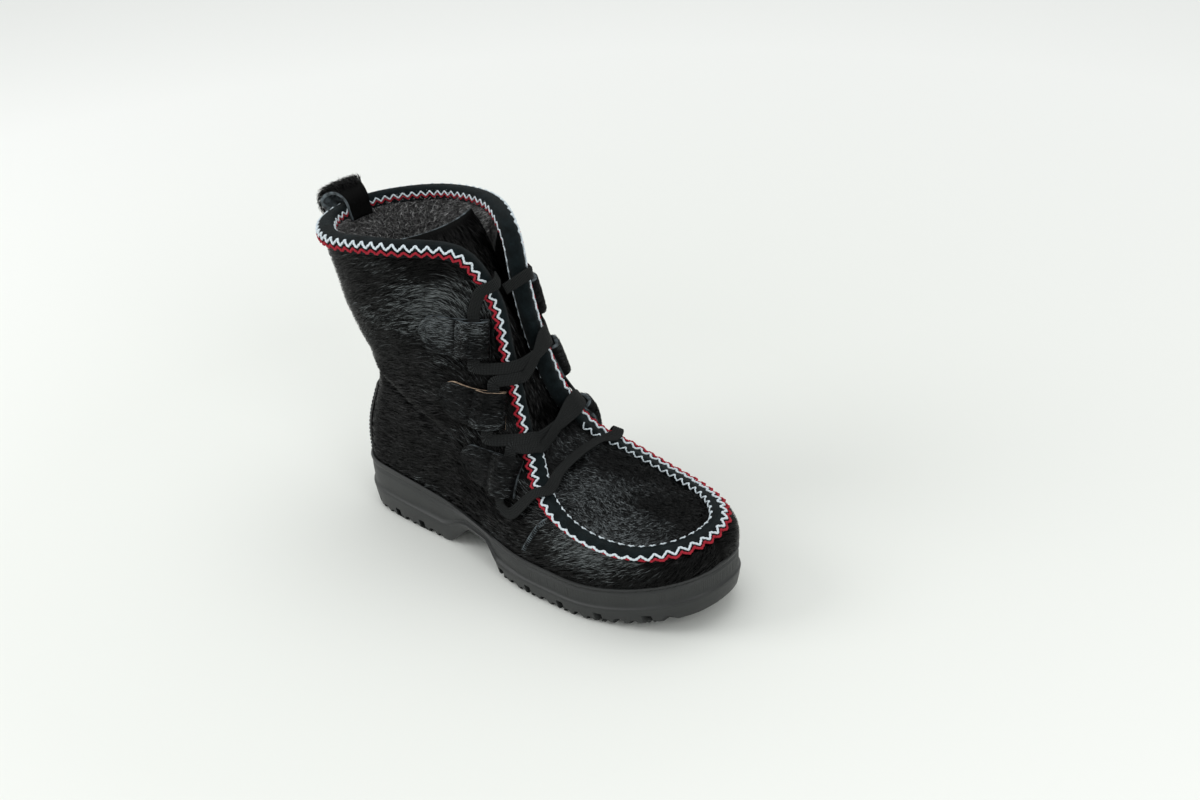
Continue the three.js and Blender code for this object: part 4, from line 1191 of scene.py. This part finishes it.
def pullPiece():
    inner, (_, edgeNormal, tangent, _) = pullGrid()
    along = np.gradient(inner, axis=1)
    normal = unit(np.cross(tangent[:, None], along))
    turned = (normal[:, :1] * edgeNormal[:, None]).sum(-1, keepdims=True) < 0
    normal = np.where(turned, -normal, normal)
    outer = inner + normal * pull["thickness"]
    uv = pairs(np.arange(pull["crosswise"]) * 2.7, np.arange(pull["lengthwise"]) * 2.0)[..., ::-1]
    slabPiece(
        "pullLoopHide", outer, inner, uv, ["wallHide", "cutEdge", "cutEdge"], "fur", "pull_loop"
    )
    return outer


pullOuter = pullPiece()
print("pull loop")

# Backstay and insole


backstay = {
    "reach": 1.5, "top": 0.38, "footLift": 0.6, "inside": 0.9, "outside": 1.5, "bevel": 0.9,
    "stitch": 0.013, "stitchPitch": 0.02, "stitchTop": 0.365, "stitchLift": 2.1, "yarn": 0.35,
}
insole = {"around": 160, "gap": 0.6, "ends": (34, 262)}
# share of the way out from the middle line, and rise over the bed
insoleRings = [(0.02, 0.3), (1, 0.3), (1, 3.2), (0.97, 4.0), (0.6, 4.1), (0.2, 4.0), (0.02, 4.0)]


def backstayPiece():
    reach = backstay["reach"]
    rows = lastRow + np.linspace(-reach, reach, 33)
    samples = np.linspace(0, 1, 400)
    heights = upperPoint(lastRow, samples)[:, 2]
    foot = np.interp(rimHeight(0) + backstay["footLift"], heights, samples)
    r, s = np.meshgrid(rows, np.linspace(foot, backstay["top"], 30), indexing="ij")
    normal, skin = upperNormal(r, s), upperPoint(r, s)
    edge = np.minimum(smooth(0, 0.2, (r - rows[0])), smooth(0, 0.2, (rows[-1] - r)))
    outer = skin + normal * (backstay["outside"] + backstay["bevel"] * edge)[..., None]
    uv = np.stack([r * 20, s * 150], -1)
    inner = skin + normal * backstay["inside"]
    slabPiece("heelLeather", outer, inner, uv, ["leather"], "leather", "backstay")
    tubes = []
    for side in (rows[0] + 0.1, rows[-1] - 0.1):
        for start in np.arange(foot + 0.01, backstay["stitchTop"], backstay["stitchPitch"]):
            r, s = spread(side, np.linspace(start, start + backstay["stitch"], 6))
            lift = backstay["stitchLift"] + backstay["yarn"] * np.sin(np.linspace(0, np.pi, 6))
            n = upperNormal(r, s)
            tubes.append(tube(upperPoint(r, s) + n * lift[:, None], n, backstay["yarn"], 6, False))
    tubesPiece("heelStitch", tubes, "cutEdge")


def insolePiece():
    rows = np.linspace(0, ringCount, insole["around"], endpoint=False)
    inset = last["upperInset"] + last["upperWall"] + insole["gap"]
    ring = footPoint(rows, np.full(len(rows), inset))
    centre = np.stack([np.clip(ring[:, 0], *insole["ends"]), 0 * ring[:, 1], ring[:, 2]], -1)
    rings = []
    for share, rise in insoleRings:
        p = lerp(centre, ring, share)
        if rings:
            p[:, 2] = rimHeight(p[:, 0]) - last["lipHeight"] + last["gap"]
        rings.append(p + [0, 0, rise])
    grid = np.stack(rings, 1)
    gridPiece("insolePad", grid, grid[..., :2], ["liningHide"], "insole")


backstayPiece()
insolePiece()
print("backstay and insole")

# Outsole: rings up its side, then grooves and notches cut across the tread

sole = {
    "around": 900, "lugDepth": 7.5, "grooveWidth": 5, "grooveTurn": 0.16, "heelPitch": 24,
    "ballPitch": 27.5, "notch": 3.9, "smallNotch": 2.8, "notchRise": 0.7, "notchShift": 0.31,
    "notchLength": 14, "channelWidth": 4, "channelShare": 0.42, "spine": 8, "knurlPitch": 1.5,
    "knurlDepth": 0.3, "waistRib": 0.35, "toeTread": 8, "channelLap": 25, "sharpTurn": 35,
}
# inset and depth of the lip inside the upper's foot
lipSteps = [(2.6, 0.2), (3.4, 1.2), (4.3, last["lipHeight"])]
# share of the side's height, inset, and whether the knurl shows there
soleSteps = [
    (0, 3.9, 0), (0.02, 2.9, 0), (0.06, 2.2, 0), (0.22, 1.2, 0), (0.38, 0.4, 0), (0.42, 0.15, 0),
    (0.455, 0.3, 0), (0.475, 1.1, 0), (0.5, 1.5, 0), (0.53, 1.45, 1), (0.6, 1.35, 1),
    (0.7, 1.2, 1), (0.79, 1.15, 1), (0.82, 1.2, 0), (0.85, 1.7, 0), (0.875, 2.0, 0),
    (0.9, 1.8, 0), (0.925, 0.9, 0), (0.955, 0.6, 0), (0.985, 0.9, 0), (1, 1.8, 0),
]


def outsolePiece():
    rows = np.linspace(0, ringCount, sole["around"], endpoint=False)
    line = outline(rows)
    fromToe = np.minimum(rows, ringCount - rows)
    knurl = 0.5 - 0.5 * np.cos(2 * np.pi * lengthAlong(line) / sole["knurlPitch"])
    knurl = knurl * (1 - smooth(5.4, 6.2, fromToe)) * sole["knurlDepth"]
    waist = smooth(5.6, 6.6, fromToe) * (1 - smooth(9.6, 10.8, fromToe))
    rings = []
    for share, inset, on in soleSteps:
        ribs = waist * sole["waistRib"] * math.cos(share * 60) * (0.1 < share < 0.8)
        p = outlinePoint(rows, inset + on * knurl + ribs)
        p[:, 2] = lerp(treadHeight(line[:, 0]), rimHeight(line[:, 0]), share)
        rings.append(p)
    for inset, drop in lipSteps:
        p = outlinePoint(rows, np.full(len(rows), inset))
        p[:, 2] = rimHeight(line[:, 0]) - drop
        rings.append(p)
    grid = np.stack(rings, 1)
    count, levels = grid.shape[:2]
    points = grid.reshape(-1, 3)
    faces = [gridFaces(count, levels, wrapColumns=True)]
    i = np.arange(1, count // 2 - 1)
    for level, turned in ((0, True), (levels - 1, False)):
        strip = np.stack([i, i + 1, count - i - 1, count - i], -1) * levels + level
        nose = np.array([[0, 0, 1, count - 1]]) * levels + level
        heel = np.array([[count // 2 - 1, count // 2, count // 2, count // 2 + 1]]) * levels + level
        caps = np.concatenate([strip, nose, heel])
        faces.append(caps[:, ::-1] if turned else caps)
    faces = facingOut(points, np.concatenate(faces))
    uv = np.zeros((len(points), 2))
    piece = newPiece("rubberSole", points, faces, uv, ["rubber"], "outsole")
    select(piece)
    bpy.ops.object.mode_set(mode="EDIT")
    bpy.ops.mesh.select_all(action="SELECT")
    bpy.ops.mesh.dissolve_degenerate(threshold=1e-6)
    bpy.ops.mesh.normals_make_consistent(inside=False)
    bpy.ops.object.mode_set(mode="OBJECT")
    return piece


def select(piece):
    bpy.ops.object.select_all(action="DESELECT")
    piece.select_set(True)
    bpy.context.view_layer.objects.active = piece


def cutBox(low, high, turn=0.0):
    low, high = np.array(low, float), np.array(high, float)
    middle = ((low + high) / 2 - [last["heelRest"], 0, 0]) * mm
    bpy.ops.mesh.primitive_cube_add(size=1, location=middle, rotation=(0, 0, turn))
    box = bpy.context.object
    box.scale = (high - low) * mm
    return box


def treadCuts():
    boxes = []
    reach = last["ballWidth"]
    # start, end and pitch of the lugs
    zones = [
        (last["heelTreadEnd"] - 3 * sole["heelPitch"], last["heelTreadEnd"], sole["heelPitch"]),
        (last["ballTreadStart"], last["length"] - sole["toeTread"], sole["ballPitch"]),
    ]
    for start, end, pitch in zones:
        for x in np.arange(start, end, pitch):
            top = treadHeight(x) + sole["lugDepth"]
            for side in (-1, 1):
                y = sorted([side * reach, side * sole["spine"]])
                low = [x - sole["grooveWidth"] / 2, y[0], -last["toeSpring"]]
                high = [x + sole["grooveWidth"] / 2, y[1], top]
                boxes.append(cutBox(low, high, side * sole["grooveTurn"]))
        stop = min(end, last["springStart"] + sole["channelLap"])
        for side in (-1, 1):
            y = side * sole["channelShare"] * half
            low = [start, y - sole["channelWidth"] / 2, -last["toeSpring"]]
            boxes.append(cutBox(low, [stop, y + sole["channelWidth"] / 2, sole["lugDepth"]]))
        # scalloped lower edge of each lug
        lugs = np.arange(start, end - 2, pitch)
        spots = [(x + pitch / 2, sole["notch"]) for x in lugs]
        spots += [
            (x + pitch * (0.5 + k * sole["notchShift"]), sole["smallNotch"])
            for x in lugs for k in (-1, 1)
        ]
        for x, radius in spots:
            for side in (-1, 1) if x <= end - 2 else ():
                rows = np.linspace(0, lastRow, 400)
                edge = outline(rows if side < 0 else ringCount - rows)
                y = np.interp(-x, -edge[:, 0], edge[:, 1])
                place = [x - last["heelRest"], y, float(treadHeight(x)) + sole["notchRise"]]
                bpy.ops.mesh.primitive_cylinder_add(
                    vertices=16, radius=radius * mm, depth=sole["notchLength"] * mm,
                    location=[v * mm for v in place], rotation=(math.pi / 2, 0, 0),
                )
                boxes.append(bpy.context.object)
    return boxes


def cutTread(piece):
    boxes = treadCuts()
    bpy.ops.object.select_all(action="DESELECT")
    for box in boxes:
        box.select_set(True)
    bpy.context.view_layer.objects.active = boxes[0]
    bpy.ops.object.transform_apply(location=True, rotation=True, scale=True)
    bpy.ops.object.join()
    cutter = bpy.context.object
    select(piece)
    cut = piece.modifiers.new("tread", "BOOLEAN")
    cut.object = cutter
    cut.operation = "DIFFERENCE"
    cut.solver = "EXACT"
    cut.use_self = True
    bpy.ops.object.modifier_apply(modifier=cut.name)
    bpy.data.objects.remove(cutter)
    bpy.ops.object.shade_smooth_by_angle(angle=math.radians(sole["sharpTurn"]))


outsole = outsolePiece()
cutTread(outsole)
print("outsole", len(outsole.data.polygons))

# Side seam of the vamp, from the sole's side up to the felt, with overlock stitches across it

seam = {
    "rows": (5.75, 4.75), "shares": (0.2, 0.78), "radius": 0.5, "lift": 0.9, "stitch": 0.28,
    "stitchLift": 1.25, "pitch": 1.9, "reach": 2.6, "lean": 0.25, "margin": 2,
}


def seamPiece(side):
    t = np.linspace(0, 1, 60)
    rows = lerp(*seam["rows"], t)
    rows = rows if side < 0 else ringCount - rows
    shares = lerp(*seam["shares"], t)
    line, normal = skinPoint(rows, shares), upperNormal(rows, shares)
    tubes = [tube(line + normal * seam["lift"], normal, seam["radius"], 6, False)]
    length, tangent = lengthAlong(line), unit(np.gradient(line, axis=0))
    for at in np.arange(seam["margin"], length[-1] - seam["margin"], seam["pitch"]):
        middle, up, along = (
            np.array([np.interp(at, length, v[:, k]) for k in range(3)])
            for v in (line, normal, tangent)
        )
        across = np.cross(up, along)
        across = across if across[0] < 0 else -across
        reach = np.linspace(0.4, seam["reach"], 6)[:, None]
        lift = seam["stitchLift"] + 0.5 * np.sin(np.linspace(0, np.pi, 6))[:, None]
        path = middle - across * reach + along * reach * seam["lean"] + up * lift
        tubes.append(tube(path, np.tile(up, (6, 1)), seam["stitch"], 5, False))
    name = "vampSeamOuter" if side < 0 else "vampSeamInner"
    tubesPiece(name, tubes, "cutEdge")


seamPiece(-1)
seamPiece(1)
print("seams")

# Fur over the hide

# hairs, their length, lift off the hide, width and spread of direction; limits near the poles
furLook = {
    "wall": {"count": 72000, "length": 8.7, "lift": 1.3, "width": 0.3, "spread": 0.15,
             "rowLimit": 0.6, "shareLimit": 0.2},
    "toeTop": {"count": 36000, "length": 5.0, "lift": 0.7, "width": 0.28, "spread": 0.45,
               "rowLimit": 0.25, "shareLimit": 0.12, "material": "toeHair"},
    "tongue": {"count": 14000, "length": 8.0, "lift": 0.9, "width": 0.32, "spread": 0.15,
               "rowLimit": 9},
    # the tabs' hairs get a stronger painted highlight
    "tab": {"count": 3600, "length": 6.5, "lift": 0.9, "width": 0.28, "spread": 0.25,
            "rowLimit": 9, "paintedHighlightGain": 1.2, "material": "toeHair"},
    "pull": {"count": 9000, "length": 11.0, "lift": 5.0, "width": 0.32, "spread": 0.4,
             "rowLimit": 9},
    # the pile gets no painted highlight
    "pile": {"count": 43000, "length": 3.2, "lift": 4.6, "width": 0.45, "spread": 2.0,
             "toneLow": 1.4, "toneHigh": 1.6, "sheen": 0, "depth": 0.62,
             "material": "pile", "slot": "shearling"},
}


def wallFlow(rows, shares):
    # backwards along the foot and shaft, a little downwards at the back
    rows = rows % ringCount
    fromToe = np.abs(signedRow(rows))
    sink = lerp(-0.45, -0.12, smooth(4, 7, fromToe)) - 0.35 * smooth(12, 14, fromToe)
    angle = sink + 0.18 * np.sin(rows * 1.7 + shares * 5)
    return np.where(rows > lastRow, np.pi - angle, angle)


def wallFur():
    look = furLook["wall"]
    area = np.linspace(0, ringCount, 800)
    width = np.linalg.norm(np.diff(upperPoint(area, 0.5), axis=0), axis=1)
    tall = np.linalg.norm(upperPoint(area, 0.0) - upperPoint(area, 1.0), axis=1)[:-1]
    weight = np.concatenate([[0], np.cumsum(width * tall)])
    for k in range(2):
        rows = np.interp(rng.uniform(0, weight[-1], look["count"]), weight, area)
        shares = rng.uniform(0.0, 0.99, look["count"])
        hairPiece(f"wallFur{k + 1}", skinPoint, rows, shares, wallFlow, look)


def toeTopFur():
    look = furLook["toeTop"]
    rows = last["apronEndRow"] * rng.uniform(0, 1, look["count"]) ** 0.8
    across = rng.uniform(0.03, 0.97, look["count"])

    def flow(rows, across):
        return np.pi + 0.5 * np.sin(rows * 2.1) + 0.6 * (across - 0.5)

    hairPiece("toeTopFur", apronSkin, rows, across, flow, look)


def tongueFur():
    look = furLook["tongue"]
    u, v = rng.uniform(0, 32, look["count"]), rng.uniform(0.12, 0.985, look["count"])
    hairPiece("tongueFur", gridSurface(tongueSheet[::-1]), u, v, -1.5, look)


def tabFur():
    look = furLook["tab"]
    for (level, inside), top in tabTops.items():
        side = "inner" if inside else "outer"
        # on the flat tab only behind its doubled part, and on that all over
        fold = tabFolds[level, inside]
        for kind, grid, first, part in (("Tab", top, 0.42, 1), ("Fold", fold, 0, 2)):
            count = look["count"] // part
            u = rng.uniform(first * len(grid), len(grid) - 1.01, count)
            v = rng.uniform(0.02, 0.98, count)
            surface = gridSurface(grid[:, ::-1] if inside else grid)
            hairPiece(f"tabFur{kind}_{side}_{level}", surface, u, v, 0, look)


def pullFur():
    look = furLook["pull"]
    v, u = rng.uniform(0.0, 0.72, look["count"]), rng.uniform(0, 8, look["count"])
    hairPiece("pullFur", gridSurface(pullOuter), u, v, -1.57, look)


def liningPile():
    look = furLook["pile"]

    def lining(rows, shares):
        normal = upperNormal(rows, np.clip(shares, 0, 1))
        return upperPoint(rows, shares) - normal * last["upperWall"]

    first = upperLook["liningFrom"] + 0.2
    rows = rng.uniform(first, ringCount - first, look["count"])
    # densest at the collar, thinner further down
    shares = 1 - look["depth"] * rng.uniform(0.02, 1, look["count"]) ** 1.2
    hairPiece(
        "liningPile", lambda r, s: lining(ringCount - r, s), rows, shares,
        lambda r, s: rng.uniform(0, 6.28, r.shape), look,
    )


wallFur()
toeTopFur()
tongueFur()
tabFur()
pullFur()
liningPile()
print("fur")

# Studio: pale floor, soft light and the camera at the photograph's place

studio = {
    "sky": "#f4f6f5", "skyPower": 0.78, "aim": (0.08, 0, 0.08), "floor": 24,
    "azimuth": 44.67, "elevation": 28.43, "roll": -4.777, "lens": 51, "sensor": 36,
    "camera": (0.7709, -0.6292, 0.6010),
}


def floorPiece():
    bpy.ops.mesh.primitive_plane_add(size=studio["floor"], location=(0, 0, 0))
    floor = bpy.context.object
    floor.name = "studioFloor"
    material, tree, shader = newMaterial("paintedFloor", Roughness=0.9)
    # painted light: the floor is painted darker near the middle, where the softboxes light it most,
    # and lighter further off, where less of their light reaches, so that it looks evenly bright
    distance = addNode(
        tree, "ShaderNodeVectorMath", links={"Vector": objectPlace(tree)}, operation="LENGTH"
    )
    paint(tree, shader, distance.outputs["Value"], (0.3, "#e8eae6"), (1.0, "#fbfcfa"))
    floor.data.materials.append(material)


def addLight(name, place, size, power):
    light = bpy.data.lights.new(name, "AREA")
    light.shape = "DISK"
    light.size = size
    light.energy = power
    holder = bpy.data.objects.new(name, light)
    bpy.context.scene.collection.objects.link(holder)
    holder.location = place
    towards = Vector(studio["aim"]) - Vector(place)
    holder.rotation_euler = towards.to_track_quat("-Z", "Y").to_euler()


def addCamera():
    az, el, roll = (math.radians(studio[key]) for key in ("azimuth", "elevation", "roll"))
    back = Vector((math.sin(az) * math.cos(el), -math.cos(az) * math.cos(el), math.sin(el)))
    right = Vector((math.cos(az), math.sin(az), 0))
    up = back.cross(right)
    turnedRight = right * math.cos(roll) + up * math.sin(roll)
    turnedUp = up * math.cos(roll) - right * math.sin(roll)
    lens = bpy.data.cameras.new("photoCamera")
    lens.sensor_width = studio["sensor"]
    lens.lens = studio["lens"]
    camera = bpy.data.objects.new("photoCamera", lens)
    bpy.context.scene.collection.objects.link(camera)
    turn = Matrix((turnedRight, turnedUp, back)).transposed().to_4x4()
    camera.matrix_world = Matrix.Translation(studio["camera"]) @ turn
    bpy.context.scene.camera = camera


def addSky():
    world = bpy.data.worlds.new("studioSky")
    bpy.context.scene.world = world
    world.use_nodes = True
    sky = world.node_tree.nodes["Background"]
    sky.inputs["Color"].default_value = linear(studio["sky"])
    sky.inputs["Strength"].default_value = studio["skyPower"]


floorPiece()
# place, size in metres and power in watts
addLight("softboxAbove", (0.1, 0.2, 1.6), 1.3, 5)
addLight("softboxLeft", (-0.9, -1.0, 1.1), 0.9, 8.5)
addLight("softboxFront", (1.3, -0.5, 0.9), 0.7, 4)
addSky()
addCamera()
bpy.context.scene.view_settings.view_transform = "Standard"
print("studio")
